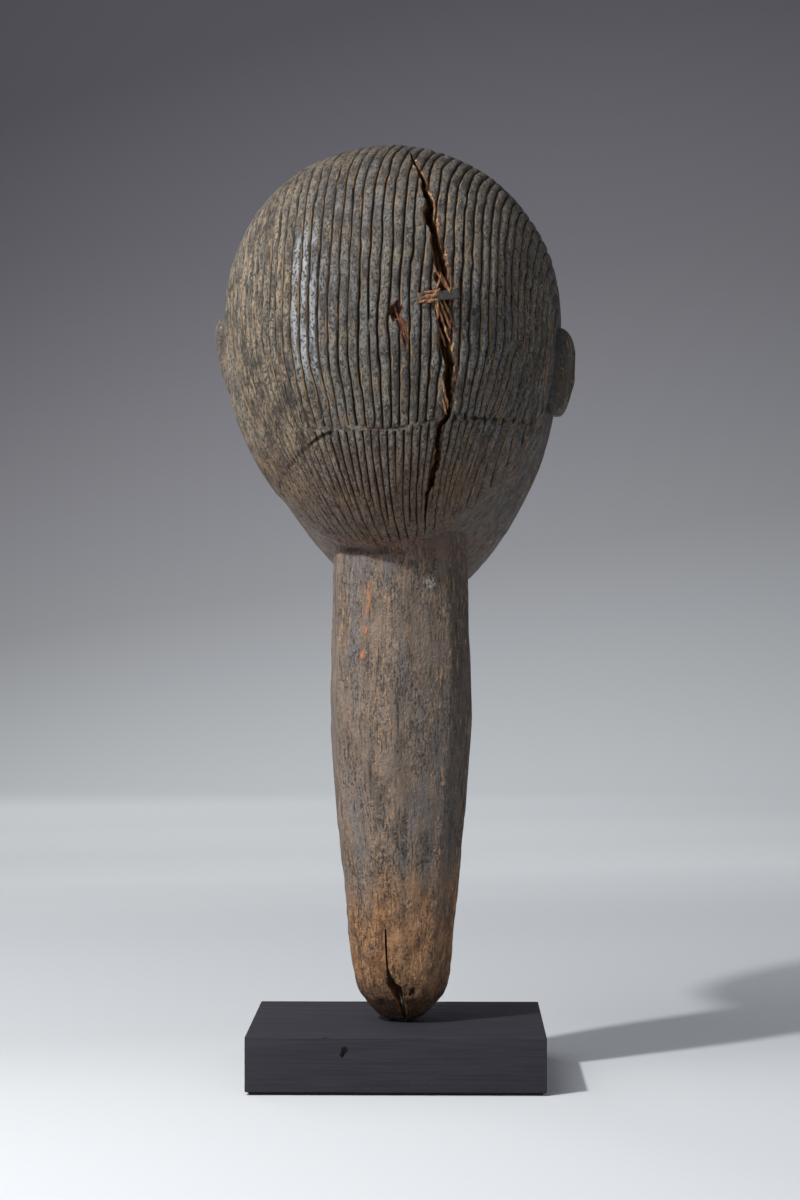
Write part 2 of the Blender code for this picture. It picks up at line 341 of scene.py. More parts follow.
def lumps(tree, sizes_mm, detail=3.0, roughness=0.55):
    """Noise in the piece's own space, whose lumps have these sizes in millimetres along each axis."""
    place = add_node(tree, "ShaderNodeTexCoord").outputs["Object"]
    scale = [1 / (size * MM) for size in sizes_mm]
    stretched = add_node(tree, "ShaderNodeMapping", {"Vector": place, "Scale": scale}).outputs[0]
    inputs = {"Vector": stretched, "Scale": 1.0, "Detail": detail, "Roughness": roughness}
    return add_node(tree, "ShaderNodeTexNoise", inputs).outputs["Fac"]


def masks(tree, table):
    """Named masks: each source's rise from low to high, spread smoothly over two amounts, 0 and 1 if none.

    A source is a socket, or the sizes, detail and roughness of some lumps.
    """
    found = {}
    for name, (source, low, high, *amounts) in table.items():
        if isinstance(source, tuple):
            source = lumps(tree, *source)
        first, last = amounts or (0.0, 1.0)
        inputs = {"Value": source, 1: low, 2: high, 3: first, 4: last}
        found[name] = add_node(tree, "ShaderNodeMapRange", inputs, interpolation_type="SMOOTHSTEP").outputs[0]
    return found


def windows(tree, *spans):
    """Masks that are 1 while a source is between limits: where it starts, is full, fades and ends."""
    found = []
    for source, start, full, fading, end in spans:
        found += masks(tree, {"rise": (source, start, full), "fall": (source, fading, end, 1, 0)}).values()
    return found


def painted(tree, tone, *coats):
    """tone with each coat's colour laid over it in turn, by the product of the coat's masks."""
    for over, amount, *more in coats:
        for mask in more:
            amount = add_node(tree, "ShaderNodeMath", {0: amount, 1: mask}, operation="MULTIPLY").outputs[0]
        tone = add_node(tree, "ShaderNodeMix", {0: amount, 6: tone, 7: over}, data_type="RGBA").outputs[2]
    return tone


def feed_shader(tree, shader, tone, roughness, *reliefs):
    """Links the shader's colour and roughness, and a bump for each relief.

    A relief is its height, how deep it is in millimetres, and its strength.
    """
    tree.links.new(tone, shader.inputs["Base Color"])
    if roughness is not None:
        tree.links.new(roughness, shader.inputs["Roughness"])
    inputs = {}
    for height, depth, strength in reliefs:
        inputs.update({"Height": height, "Distance": depth * MM, "Strength": strength})
        inputs["Normal"] = add_node(tree, "ShaderNodeBump", inputs).outputs[0]
    tree.links.new(inputs["Normal"], shader.inputs["Normal"])


def smoked_hardwood(colours):
    """Dense hardwood, carved with an adze and knife, smoked and handled for years.

    To the eye: grey-brown and dry, with dark open pores along the grain, pale dust on the ridges, bare
    tan wood on the groove walls and in the breaks, and a warmer, rubbed end where it was held. Painted
    shade darkens the groove floors, the right side of the neck and face and the very end of the neck;
    painted light makes the dust on the left of the head lighter and gives a few polished ridges a pale
    bluish sheen.
    """
    material, tree, shader = new_material("smoked hardwood, adzed and combed", ior=1.5)
    metres = add_node(tree, "ShaderNodeTexCoord").outputs["Object"]
    place = add_node(tree, "ShaderNodeVectorMath", {0: metres, "Scale": 1 / MM}, operation="SCALE").outputs[0]
    spot = add_node(tree, "ShaderNodeSeparateXYZ", {0: place}).outputs
    across, height = spot["X"], spot["Z"]
    marked = [add_node(tree, "ShaderNodeAttribute", attribute_name=name) for name in MARKS]
    groove, hair, raw = (node.outputs["Fac"] for node in marked)
    ragged = {0: lumps(tree, (12, 12, 34), 5), 1: RUBBED_RAGGEDNESS, 2: height}
    handled = add_node(tree, "ShaderNodeMath", ragged, operation="MULTIPLY_ADD").outputs[0]
    from_stain = {0: place, 1: STAIN_CENTRE}
    stain = add_node(tree, "ShaderNodeVectorMath", from_stain, operation="DISTANCE").outputs["Value"]
    leaning = {0: height, 1: -WORN_EDGE_LEAN, 2: across}
    slant = add_node(tree, "ShaderNodeMath", leaning, operation="MULTIPLY_ADD").outputs[0]
    pores = lumps(tree, (0.95, 0.95, 1.5), 4, 0.65)
    streaks = lumps(tree, (0.9, 0.9, 4.2), 5, 0.7)
    fibre = lumps(tree, (0.7, 0.7, 12), 4, 0.6)
    mask = masks(
        tree,
        {
            # Smoke lies in broad patches, and long streaks of it follow the grain
            "smoke": (((22, 22, 44), 4, 0.55), 0.4, 0.6),
            "long_grain": (((2.2, 2.2, 26), 5, 0.65), 0.5, 0.64, 0, 0.6),
            "thin": (((6, 6, 20), 5, 0.6), 0.5, 0.66, 0, 0.6),
            # The bare neck and jaw: worn warm, with cooler handled patches
            "skin": (hair, 0, 1, 1, 0),
            "bare": (((7, 7, 22), 6, 0.72), 0.34, 0.62, 0.3, 0.95),
            "cool": (((12, 12, 60), 4, 0.5), 0.56, 0.64, 0, 0.5),
            "neck": (height, 232, 258, 1, 0.45),
            "fissure": (((1.0, 1.0, 17), 5, 0.6), 0.58, 0.64, 0, 0.75),
            "stain": (stain, 1.6, 3.4, 0.75, 0),
            "mottle": (((1.3, 1.3, 1.3), 4, 0.6), 0.42, 0.56),
            # Painted shade: the right side of the neck, jaw and face, turned away from the lamp, is painted
            # darker
            "painted_shade_right": (across, 2, 25, 0, 0.5),
            "rough_patch": (((11, 11, 24), 4, 0.6), 0.4, 0.58, 0.15, 1),
            "streak": (streaks, 0.48, 0.6, 0, 0.75),
            "open": (pores, 0.53, 0.6, 0, 0.8),
            "worn_patch": (((9, 9, 26), 4, 0.6), 0.46, 0.6, 0.1, 1),
            "worn": (((1.2, 1.2, 6), 6, 0.75), 0.52, 0.62, 0, 0.85),
            # The handled lower end, rubbed back to warm brown, and its tip, painted darker towards the bottom
            # as painted shade
            "rubbed": (handled, 92, 140, 1, 0),
            "rubbed_grain": (((4.5, 4.5, 9), 6, 0.75), 0.4, 0.58),
            "tip": (height, 26, 50, 0.75, 0),
            # Dust on the ridges, cooler in the middle; on the left of the head, the lit side, it is painted
            # tan and lighter, real dust with painted light
            "ridge": (groove, 0.02, 0.2, 1, 0),
            "dusty": (((5, 5, 11), 5, 0.7), 0.4, 0.62, 0, 0.9),
            "warm": (((26, 26, 40), 3, 0.5), 0.42, 0.58),
            "left": (across, -62, -18, 1, 0),
            "pit": (pores, 0.5, 0.58, 0, 0.9),
            "low_hair": (height, 248, 284, 0.4, 0),
            "fleck": (((0.8, 0.8, 1.0), 2, 0.5), 0.68, 0.74, 0, 0.75),
            "polish_and_sheen": (((4, 4, 16), 4, 0.6), 0.36, 0.56, 0.1, 0.85),
            "behind": (spot["Y"], -24, -18, 1, 0),
            "dashes": (((2, 2, 4), 4, 0.6), 0.44, 0.56, 0, 0.9),
            # Groove walls are bare and tan in places; groove floors are painted near-black as painted shade
            # in the recess
            "wall_bare": (((7, 7, 22), 5, 0.65), 0.46, 0.64, 0.15, 0.9),
            "floor": (groove, 0.3, 0.6, 0, 0.96),
            "earth": (((1.6, 1.6, 1.3), 4, 0.6), 0.53, 0.62, 0, 0.8),
            # Bare split wood in the crack, and the older, browner breaks
            "pale_fibre": (fibre, 0.4, 0.6),
            "brown_fibre": (fibre, 0.46, 0.62),
            "fresh": (raw, 0.6, 0.9),
            "broken": (raw, 0.1, 0.45),
        },
    )
    # The handled end, with painted shade that darkens its tip towards the bottom
    handled_end = painted(
        tree,
        colours.rubbed_dark,
        (colours.rubbed, mask["rubbed_grain"]),
        (colours.tip_shade, mask["tip"]),
    )
    # Painted light: the dust is made tan and lighter on the lit left side of the head
    dust = painted(tree, colours.dust, (colours.olive_dust, mask["warm"]), (colours.warm_dust_and_light, mask["left"]))
    old_break = painted(tree, colours.old_break, (colours.split_dark, mask["brown_fibre"]))
    new_break = painted(tree, colours.split_dark, (colours.split, mask["pale_fibre"]))
    # Three ridges on the left are polished by handling and painted pale bluish grey as a painted sheen, one
    # edge between two facets of the neck is worn to bare wood, and red earth is caught where the head meets
    # the neck
    polished = windows(tree, (across, -44, -41, -33, -30), (height, 290, 305, 346, 362))
    worn_edge = windows(tree, (slant, -37.2, -36.4, -35.4, -34.6), (height, 176, 182, 210, 214))
    under_jaw = windows(tree, (height, 221, 225, 229, 234))
    groove_side = windows(tree, (groove, 0.08, 0.25, 0.4, 0.6))
    tone = painted(
        tree,
        colours.wood_dark,
        (colours.wood, mask["smoke"]),
        (colours.wood_dark, mask["long_grain"]),
        (colours.wood_tan, mask["thin"]),
        (colours.bare, mask["bare"], mask["neck"], mask["skin"]),
        (colours.cool, mask["cool"], mask["skin"]),
        # Painted shade on the right side of the bare skin
        (colours.wood_dark, mask["painted_shade_right"], mask["skin"]),
        (handled_end, mask["rubbed"]),
        (colours.wood_dark, mask["streak"], mask["rough_patch"], mask["skin"]),
        (colours.pore_and_groove_shade, mask["open"], mask["rough_patch"], mask["skin"]),
        (colours.worn, mask["worn"], mask["worn_patch"], mask["skin"]),
        (colours.pore_and_groove_shade, mask["fissure"], mask["skin"]),
        (colours.fleck, mask["stain"], mask["mottle"]),
        (colours.worn_edge, mask["dashes"], mask["behind"], *worn_edge),
        (dust, mask["ridge"], mask["dusty"], hair),
        # Painted highlight: pale bluish grey on a few polished ridges on the left, standing for their sheen
        (colours.polish_and_sheen, mask["polish_and_sheen"], mask["ridge"], hair, mask["behind"], *polished),
        (colours.rubbed_dark, mask["low_hair"], hair),
        (colours.pore_and_groove_shade, mask["pit"], hair),
        (colours.fleck, mask["fleck"]),
        (colours.groove_wall, mask["wall_bare"], *groove_side),
        # Painted shade: the groove floors are darkened to near-black
        (colours.pore_and_groove_shade, mask["floor"]),
        (colours.earth, mask["earth"], *under_jaw),
        (painted(tree, old_break, (new_break, mask["fresh"])), mask["broken"]),
    )
    shine = masks(tree, {"rough": (((3, 3, 8), 4, 0.55), 0.35, 0.65, 0.45, 0.75)})
    dimples = lumps(tree, (3.4, 3.4, 2.6), 3)
    reliefs = ((dimples, 1.0, 0.7), (pores, -1.3, 0.9), (streaks, -0.8, 0.7))
    feed_shader(tree, shader, tone, shine["rough"], *reliefs)
    return material


def split_wood(colours):
    """Fibres torn from inside the wood: never smoked, so cream to orange, and dull."""
    material, tree, shader = new_material("split hardwood fibre", ior=1.5, roughness=0.8)
    fibre = lumps(tree, (0.5, 0.5, 6), 4, 0.6)
    mask = masks(tree, {"pale": (fibre, 0.48, 0.68), "smoky": (((1.6, 1.6, 3), 4, 0.6), 0.46, 0.62, 0, 0.8)})
    coats = ((colours.split, mask["pale"]), (colours.old_break, mask["smoky"]))
    tone = painted(tree, colours.split_dark, *coats)
    feed_shader(tree, shader, tone, None, (fibre, 0.3, 0.7))
    return material


def forged_iron(colours):
    """Wrought iron strap, hammered flat and left to rust: dull grey scale with brown bloom in the dents."""
    material, tree, shader = new_material("forged iron, scaled and rusted")
    mask = masks(tree, {"rust": (((1.8, 1.8, 1.8), 5, 0.65), 0.5, 0.64)})
    ends = masks(tree, {"metal": (mask["rust"], 0, 1, 0.6, 0), "rough": (mask["rust"], 0, 1, 0.5, 0.85)})
    tree.links.new(ends["metal"], shader.inputs["Metallic"])
    tone = painted(tree, colours.iron, (colours.rust, mask["rust"]))
    feed_shader(tree, shader, tone, ends["rough"], (lumps(tree, (0.9, 0.9, 0.9), 4), 0.25, 0.8))
    return material


def ebonised_wood(colours):
    """Fine-grained wood, planed, stained black and waxed: cool near-black with faint lengthwise grain."""
    material, tree, shader = new_material("ebonised wood, waxed", ior=1.5, specular_ior_level=0.08)
    grain = lumps(tree, (30, 0.9, 0.9), 4, 0.6)
    mask = masks(
        tree,
        {
            "grain": (grain, 0.35, 0.65),
            "speck": (((0.9, 0.9, 0.9), 2, 0.5), 0.74, 0.78, 0, 0.5),
            "rough": (((50, 6, 6), 4, 0.55), 0.3, 0.7, 0.52, 0.64),
        },
    )
    coats = ((colours.plinth, mask["grain"]), (colours.plinth_speck, mask["speck"]))
    tone = painted(tree, colours.plinth_dark, *coats)
    feed_shader(tree, shader, tone, mask["rough"], (grain, 0.05, 0.6))
    return material


def zinc_plated_steel(colours):
    """Bright zinc plate over turned steel: pale grey metal with fine turning marks and a faint bloom."""
    material, tree, shader = new_material("zinc-plated steel, turned", metallic=1.0)
    bloom = lumps(tree, (3, 3, 3), 4)
    mask = masks(tree, {"bloom": (bloom, 0.4, 0.65), "rough": (bloom, 0.35, 0.65, 0.26, 0.44)})
    tone = painted(tree, colours.steel, (colours.steel_bloom, mask["bloom"]))
    # Real turning marks are 0.05 mm apart; 0.3 mm is the finest that shows
    feed_shader(tree, shader, tone, mask["rough"], (lumps(tree, (8, 8, 0.3), 2), 0.03, 0.6))
    return material


def pressed_felt(colours):
    """Pressed wool felt: matt black, matted in tufts of about 0.8 mm, with a little sheen at an angle."""
    material, tree, shader = new_material("pressed wool felt", roughness=0.95, sheen_weight=0.4)
    fibre = lumps(tree, (0.8, 0.8, 0.8), 5, 0.7)
    mask = masks(tree, {"tips": (fibre, 0.35, 0.7)})
    tone = painted(tree, colours.felt, (colours.felt_light, mask["tips"]))
    feed_shader(tree, shader, tone, None, (fibre, 0.4, 0.8))
    return material


def paper_backdrop(colours):
    """Seamless background paper, matt, painted pale in front and darker grey behind and above: painted light
    and shade for how the lamps light it.
    """
    material, tree, shader = new_material("seamless background paper", roughness=0.95)
    place = add_node(tree, "ShaderNodeTexCoord").outputs["Object"]
    spot = add_node(tree, "ShaderNodeSeparateXYZ", {0: place}).outputs
    rise = add_node(tree, "ShaderNodeMath", {0: spot["Y"], 1: spot["Z"]}).outputs[0]
    # Painted light: the paper is painted pale for longer on the right
    tilt = {0: spot["X"], 1: -PAINTED_LIGHT_TILT, 2: rise}
    along = add_node(tree, "ShaderNodeMath", tilt, operation="MULTIPLY_ADD").outputs[0]
    share = add_node(tree, "ShaderNodeMapRange", {"Value": along, 1: 0.0, 2: BACKDROP_LENGTH}).outputs[0]
    ramp = add_node(tree, "ShaderNodeValToRGB", {"Fac": share})
    stops = [(0.0, colours.floor)]
    stops += [(position, linear(tone)) for position, tone in PAPER_LIGHT_AND_SHADE]
    stops.append((0.96, colours.backdrop_top_shade))
    elements = ramp.color_ramp.elements
    while len(elements) < len(stops):
        elements.new(0.5)
    for element, (position, tone) in zip(elements, stops, strict=True):
        element.position = position
        element.color = tone
    tree.links.new(ramp.outputs["Color"], shader.inputs["Base Color"])
    return material


# ---------------------------------------------------------------- the head


OUTLINE = smooth_curve(HEAD_OUTLINE, closed=True)
OUTLINE_ANGLES = np.arctan2(OUTLINE[:, 1], OUTLINE[:, 0])
OUTLINE_REACHES = np.hypot(OUTLINE[:, 0], OUTLINE[:, 1])


def widening(height):
    """How much wider or narrower the head is at a height above its centre than a plain ellipse."""
    upper = 1 + 0.09 * np.clip(height / CROWN_HEIGHT, 0, 1)
    lower = 1 - 0.17 * np.clip((-height - JAW_START) / JAW_LENGTH, 0, None) ** 1.6
    return np.where(height > 0, upper, lower)


def on_head(beside, around):
    """The head's surface at an angle beside the middle plane and an angle round the ears' axis."""
    reach = np.interp(around, OUTLINE_ANGLES, OUTLINE_REACHES, period=2 * math.pi)
    up = reach * np.cos(beside) * np.sin(around)
    return np.stack(
        [HEAD_HALF_WIDTH * np.sin(beside) * widening(up), reach * np.cos(beside) * np.cos(around), up],
        axis=-1,
    )


def to_frame(points):
    """From the head's own axes to the frame's."""
    turn = np.array(Matrix.Rotation(HEAD_TURN, 3, "Z"))
    return points @ turn.T + HEAD_CENTRE


def back_of_head(sideways, upwards):
    """The point on the back of the head at this place beside and above its centre, in the frame's axes."""
    across = sideways / (HEAD_HALF_WIDTH * float(widening(upwards)))
    round_it = math.sqrt(1 - across**2)
    around = math.pi
    for _ in range(8):
        reach = np.interp(around, OUTLINE_ANGLES, OUTLINE_REACHES, period=2 * math.pi)
        around = math.pi - math.asin(upwards / (reach * round_it))
    return Vector(to_frame(on_head(np.array(math.asin(across)), np.array(around))))


def groove_lines(columns, around, spacing):
    """Where each column of the grid lies beside the middle plane, in radians, at each row round the ears."""
    line = np.degrees(columns * spacing)[None, :]
    turned = np.degrees(around)[:, None] % 360
    middle = on_head(np.zeros_like(around), around)
    drop = np.clip(-middle[:, 2] / NAPE_DROP, 0, 1)[:, None] ** 1.7
    drop = drop * smooth_step(turned, 172, 200) * (1 - smooth_step(turned, 250, 300))
    top = np.interp(turned, (0, 10, 35, 90, 180, 360), (1, 0.97, 0.8, 0.9, 1, 1))
    squeeze = top * (1 - 0.54 * drop)
    centre = V_AXIS * smooth_step(turned, 120, 180) * (1 - smooth_step(turned, 250, 300))
    drawn = centre + (line - centre) * squeeze
    hold = smooth_step(np.abs(line), 54, 88)
    wander = 0.9 * noise_on_lines(line / 24, turned / 26, 3)
    wander = wander + 0.55 * noise_on_lines(line / 3.4, turned / 12, 4)
    wander = wander + 0.25 * noise_on_lines(line / 3.4, turned / 4.5, 5)
    return np.radians(line * hold + (drawn + wander) * (1 - hold))


def band_height(across):
    """How high the cut line that divides the hair runs: it steps up on the right."""
    return BAND_LEFT + (BAND_RIGHT - BAND_LEFT) * smooth_step(across, -2, 24)


def hair_depth(own, beside):
    """How far inside the hair's edge a point is, in millimetres, negative on the bare skin."""
    forwards, up = own[..., 1], own[..., 2]
    front = HAIRLINE_REACH - (forwards * math.cos(HAIRLINE_TILT) - up * math.sin(HAIRLINE_TILT))
    away = np.clip(np.abs(np.degrees(beside)) - 15, 0, None)
    below = up + HAIR_BOTTOM - 50 * (away / 55) ** 1.2
    ear_height = np.where(beside < 0, LEFT_EAR["centre"][2], RIGHT_EAR["centre"][2])
    wide, tall = BARE_ROUND_EAR
    ear = (np.hypot((forwards - LEFT_EAR["centre"][1]) / wide, (up - ear_height) / tall) - 1) * wide
    ear = np.where(np.abs(beside) > 0.8, ear, 50)
    return np.minimum(np.minimum(front, below), ear)


# Round swellings and hollows of half a face: height, then place beside and above the head's centre,
# then half width and half height
FACE_SWELLINGS = (
    (-3.6, 25, -17, 15, 11),  # eye socket
    (4.6, 8.2, -43, 4.2, 4.6),  # wing of the nose
    (-2.0, 4.2, -49, 2.2, 1.8),  # nostril
    (-1.0, 0, -56, 2.2, 4),  # channel above the lips
    (-1.6, 0, -83, 14, 4.5),  # hollow below the lips
    (3.0, 0, -97, 16, 9),  # chin
    (1.8, 38, -44, 16, 16),  # cheek
)


def face_relief(own):
    """A calm, closed-eyed face: how far each point of the front stands forwards, in millimetres."""
    across, up = np.abs(own[..., 0]), own[..., 2]
    brow = 2.4 * lump((up - 3 + 0.004 * (across - 20) ** 2) / 5) * smooth_step(across, 54, 40)
    lid = 3.4 * np.sqrt(np.clip(1 - ((across - 25) / 14) ** 2 - ((up + 17) / 7.5) ** 2, 0, 1))
    slit = 1.3 * lump((up + 18.5 - 0.012 * (across - 25) ** 2) / 0.9)
    slit = slit * smooth_step(np.abs(across - 25), 13.5, 11)
    nose_height = np.interp(up, (-46, -38, -20, -2, 8), (10.5, 9.5, 6, 2.4, 0))
    nose_width = np.interp(up, (-46, -38, -20, 0), (6.4, 5.8, 4.6, 4.2))
    nose = nose_height * lump(across / nose_width) * smooth_step(up, -51, -45)
    upper_lip = 3.4 * lump((up + 64 - 0.02 * np.clip(across - 3, 0, 8) ** 2) / 3.2)
    upper_lip = upper_lip * smooth_step(across, 21, 12)
    lower_lip = 3.8 * lump((up + 72.5 - 0.012 * across**2) / 3.8) * smooth_step(across, 18, 8)
    mouth = 2.6 * lump((up + 68 - 0.008 * across**2) / 1.1) * smooth_step(across, 20, 15)
    relief = brow + lid - slit + nose + upper_lip + lower_lip - mouth
    for height, beside, above, half_width, half_height in FACE_SWELLINGS:
        relief += height * lump(np.hypot((across - beside) / half_width, (up - above) / half_height))
    return relief * smooth_step(own[..., 1], 20, 45)


def groove_depths(columns, beside, own, places, sizes):
    """How deep each point lies in a combed groove, in millimetres, and as a share of a whole groove."""
    random = np.random.default_rng(7)
    height = places[..., 2]
    band = band_height(places[..., 0])
    inside = hair_depth(own, beside)
    turned = np.degrees(np.arctan2(own[..., 2], own[..., 1])) % 360
    depths = np.zeros(height.shape)
    share = np.zeros(height.shape)
    for lower in (False, True):
        shift = COLUMNS_PER_GROOVE // 2 if lower else 0
        number = np.rint((columns - shift) / COLUMNS_PER_GROOVE).astype(int)
        distance = np.abs(columns - shift - number * COLUMNS_PER_GROOVE)
        ragged = smooth_step(noise_on_lines(columns[None, :] * 0.9, turned / 2.1, 15 + lower), -0.1, 0.8)
        section = np.select([distance == 0, distance == 1, distance == 3], [1, 0.06 + 0.5 * ragged, -0.03], 0)
        ends = random.uniform(0, 1.8, 64)[number + 30][None, :]
        rim = random.uniform(-0.5, 2.6, 64)[number + 30][None, :]
        weak = noise_on_lines(number[None, :] * 1.7, turned / 9, 11 + lower)
        vary = 0.88 + 0.3 * noise_on_lines(number[None, :] * 1.3, turned / 16, 13 + lower)
        vary = vary * (1 - 0.7 * smooth_step(weak, 0.62, 0.75))
        if lower:
            reach = smooth_step(band - 0.3 - 0.3 * ends - height, 0, 0.8)
            other = (number % 2 == 1)[None, :] & (np.abs(number) < 22)[None, :]
            fade = 1 - smooth_step(FADE_HEIGHT + 5 + 7 * (ends - 0.9) - height, 0, 7)
            reach = reach * np.where(other, fade, 1)
        else:
            reach = smooth_step(height - band - 0.3 * ends, 0, 0.8)
        reach = reach * smooth_step(inside - rim, 0.3, 2.4)
        deep = sizes.lower_groove_depth / MM if lower else sizes.groove_depth / MM
        depths += deep * vary * reach * section
        share += np.clip(vary, 0, 1) * reach * np.clip(section, 0, 1)
    return depths, np.clip(share, 0, 1)


def band_cuts(places, own):
    """The cut line that divides the hair, with a row of deeper pricks on its right."""
    across, height = places[..., 0], places[..., 2]
    band = band_height(across)
    back = (own[..., 1] < 0) & (hair_depth(own, np.arcsin(np.clip(own[..., 0] / 80, -1, 1))) > 0)
    line = lump((height - band) / 0.6) * smooth_step(noise_on_lines(across / 7, height * 0, 21), -0.7, 0.0)
    line = line * smooth_step(across, -34, -24)
    pricks = lump((height - band) / 1.3) * smooth_step(np.cos(across * 2 * math.pi / PRICK_SPACING), 0.1, 0.9)
    pricks = pricks * smooth_step(across, 16, 24)
    return (0.6 * line + 1.6 * pricks) * back, np.clip(np.maximum(pricks, 0.65 * line), 0, 1) * back


def pitted(places):
    """Where small open pores have broken out of the ridges."""
    return smooth_step(soft_noise(places, (1.7, 1.7, 2.8), 36), 0.3, 0.75)


CHECK_ROUTE = ((-26, 273.5), (-31, 271.5), (-37, 267.5), (-44, 261), (-50, 253))


def check_line(places):
    """The thin curved check low on the left of the hair: 1 on it, falling to 0 a millimetre away."""
    route = smooth_curve(CHECK_ROUTE, closed=False, steps=4)
    nearest = np.full(places.shape[:-1], 9.0)
    for start, end in itertools.pairwise(route):
        along = end - start
        here = places[..., ::2] - start
        part = np.clip((here @ along) / (along @ along), 0, 1)[..., None]
        nearest = np.minimum(nearest, np.linalg.norm(here - part * along, axis=-1))
    return smooth_step(nearest, 1.0, 0.35) * (places[..., 1] < -20)


def carve_head(sizes):
    """The head as one grid whose columns follow the grooves, with its poles under the ears."""
    spacing = math.pi / (sizes.groove_count * COLUMNS_PER_GROOVE)
    fine = np.arange(-LAST_FINE_COLUMN, LAST_FINE_COLUMN + 1)
    columns = np.concatenate([np.negative(COARSE_COLUMNS)[::-1], fine, COARSE_COLUMNS])
    # Directions round the ears' axis: up the nape, past the cut line, over the crown and down the face
    hair_rows = [np.linspace(247, 217, 25), np.linspace(216.4, 203, 34), np.linspace(202, 32, 122)]
    hair_rows = np.radians(np.concatenate(hair_rows))
    face_rows = np.radians(np.linspace(32, -113, 118))[1:-1]
    around = np.concatenate([hair_rows, face_rows])
    beside = groove_lines(columns, around, spacing)
    own = on_head(beside, around[:, None] + 0 * beside)
    places = to_frame(own)
    down = np.roll(own, -1, axis=0) - np.roll(own, 1, axis=0)
    normals = np.cross(np.gradient(own, axis=1), down)
    normals /= np.linalg.norm(normals, axis=-1, keepdims=True)
    normals *= np.sign((normals * own).sum(axis=-1, keepdims=True))

    inside = hair_depth(own, beside)
    hair = smooth_step(inside, -0.6, 1.4)
    depths, share = groove_depths(columns, beside, own, places, sizes)
    cut, cut_share = band_cuts(places, own)
    lift = HAIR_RISE * (2 * hair - 1) - depths - cut
    lift += 0.5 * soft_noise(places, 22, 31) + 0.16 * soft_noise(places, (5, 5, 9), 32)
    lift += 0.12 * soft_noise(places, (1.5, 1.5, 2.4), 33) - 0.35 * hair * pitted(places)
    check = check_line(places)
    lift -= 0.7 * check
    dents = np.abs(soft_noise(places, (9, 9, 13), 34))
    lift -= 0.5 * (1 - hair) * (1 - dents) * smooth_step(own[..., 1], 10, -10)
    nape = smooth_step(places[..., 2], 236, 228) * smooth_step(own[..., 1], 0, -20)
    lift -= 0.8 * nape
    shaped = own + normals * lift[..., None]
    shaped[..., 1] += face_relief(own)
    shaped = to_frame(shaped)

    # The face has no grooves, so its rows keep every second column
    kept = [slice(None, None, 1 if row < len(hair_rows) else 2) for row in range(len(around))]
    counts = [len(columns[chosen]) for chosen in kept]
    rows = np.split(np.arange(sum(counts)), np.cumsum(counts)[:-1])
    poles = to_frame(on_head(np.array((-math.pi / 2, math.pi / 2)), np.zeros(2)))
    left_pole = sum(counts)
    points = np.vstack([*(shaped[row, chosen] for row, chosen in enumerate(kept)), poles])
    faces = []
    for row, near in enumerate(rows):
        far = rows[(row + 1) % len(rows)]
        faces += joined_rows(near, far)
        faces.append((left_pole, near[0], far[0]))
        faces.append((left_pole + 1, far[-1], near[-1]))
    marks = np.zeros((len(points), len(MARKS)))
    for column, mark in enumerate((np.clip(share + cut_share + check, 0, 1), hair)):
        marks[:left_pole, column] = np.concatenate([mark[row, chosen] for row, chosen in enumerate(kept)])
    return new_piece("doll_carving_combed", points, faces), marks


def joined_rows(near, far):
    """Faces between two rows of points, where one row may have every second column only."""
    if len(near) == len(far):
        return [(near[i], near[i + 1], far[i + 1], far[i]) for i in range(len(near) - 1)]
    if len(near) < len(far):
        return [tuple(reversed(face)) for face in joined_rows(far, near)]
    return [(near[2 * i], near[2 * i + 1], near[2 * i + 2], far[i + 1], far[i]) for i in range(len(far) - 1)]


# ---------------------------------------------------------------- ears and neck


# Where each ear is from the head's centre, its half sizes, sideways, forwards and upwards, and how far
# it stands out at four levels from its lobe to its top
LEFT_EAR = {"centre": (-72.5, 6, -4.5), "half": (8.0, 8.6, 17.5), "side": -1, "reach": (0.25, 0.7, 1.0, 0.95)}
RIGHT_EAR = {"centre": (70.5, 6, -14), "half": (8.0, 8.6, 19), "side": 1, "reach": (0.4, 0.95, 1.0, 0.75)}
EAR_LEVELS = (-1, -0.2, 0.5, 1)


def carve_ear(name, ear):
    """A small block-like ear: squared oval, flat outside, with a rim round a shallow bowl."""
    polar = np.linspace(0.03, math.pi - 0.03, 34)[:, None]
    turned = full_turn(48)[None, :]
    out = np.cos(polar) + 0 * turned
    forwards, up = np.sin(polar) * np.cos(turned), np.sin(polar) * np.sin(turned)
    squared = [squared_off(part, 0.72) for part in (out, forwards, up)]
    scale = (sum(np.abs(part) ** 4 for part in squared)) ** (1 / 4)
    out, forwards, up = (part / scale for part in squared)
    bowl = 1 - smooth_step(np.hypot(forwards / 0.66, up / 0.74), 0.55, 1)
    out = out - 0.55 * bowl * (out > 0)
    width, depth, height = ear["half"]
    lean = np.interp(up, EAR_LEVELS, ear["reach"])
    own = np.stack([ear["side"] * width * out * lean, depth * forwards, height * up], axis=-1)
    own = own + np.array(ear["centre"])
    places = to_frame(own)
    places += 0.35 * soft_noise(places, 6, 41)[..., None] * np.array((ear["side"], 0.4, 0.2))
    return lofted(name, places)


def neck_facets(angles, heights):
    """How far out the neck's flat facets reach at each height and angle, as a share of its round radius."""
    shares = np.empty((len(heights), len(angles)))
    for row, height in enumerate(heights):
        sway = [3 * math.sin(height / 31 + index * 2.1) for index in range(len(NECK_EDGES))]
        edges = np.array(NECK_EDGES) + np.array(sway)
        edges = np.concatenate([edges - 360, edges, edges + 360])
        upper = np.searchsorted(edges, angles, side="right")
        low, high = edges[upper - 1], edges[upper]
        half, middle = np.radians(high - low) / 2, (high + low) / 2
        shares[row] = np.cos(half) / np.cos(np.radians(angles - middle))
    return shares


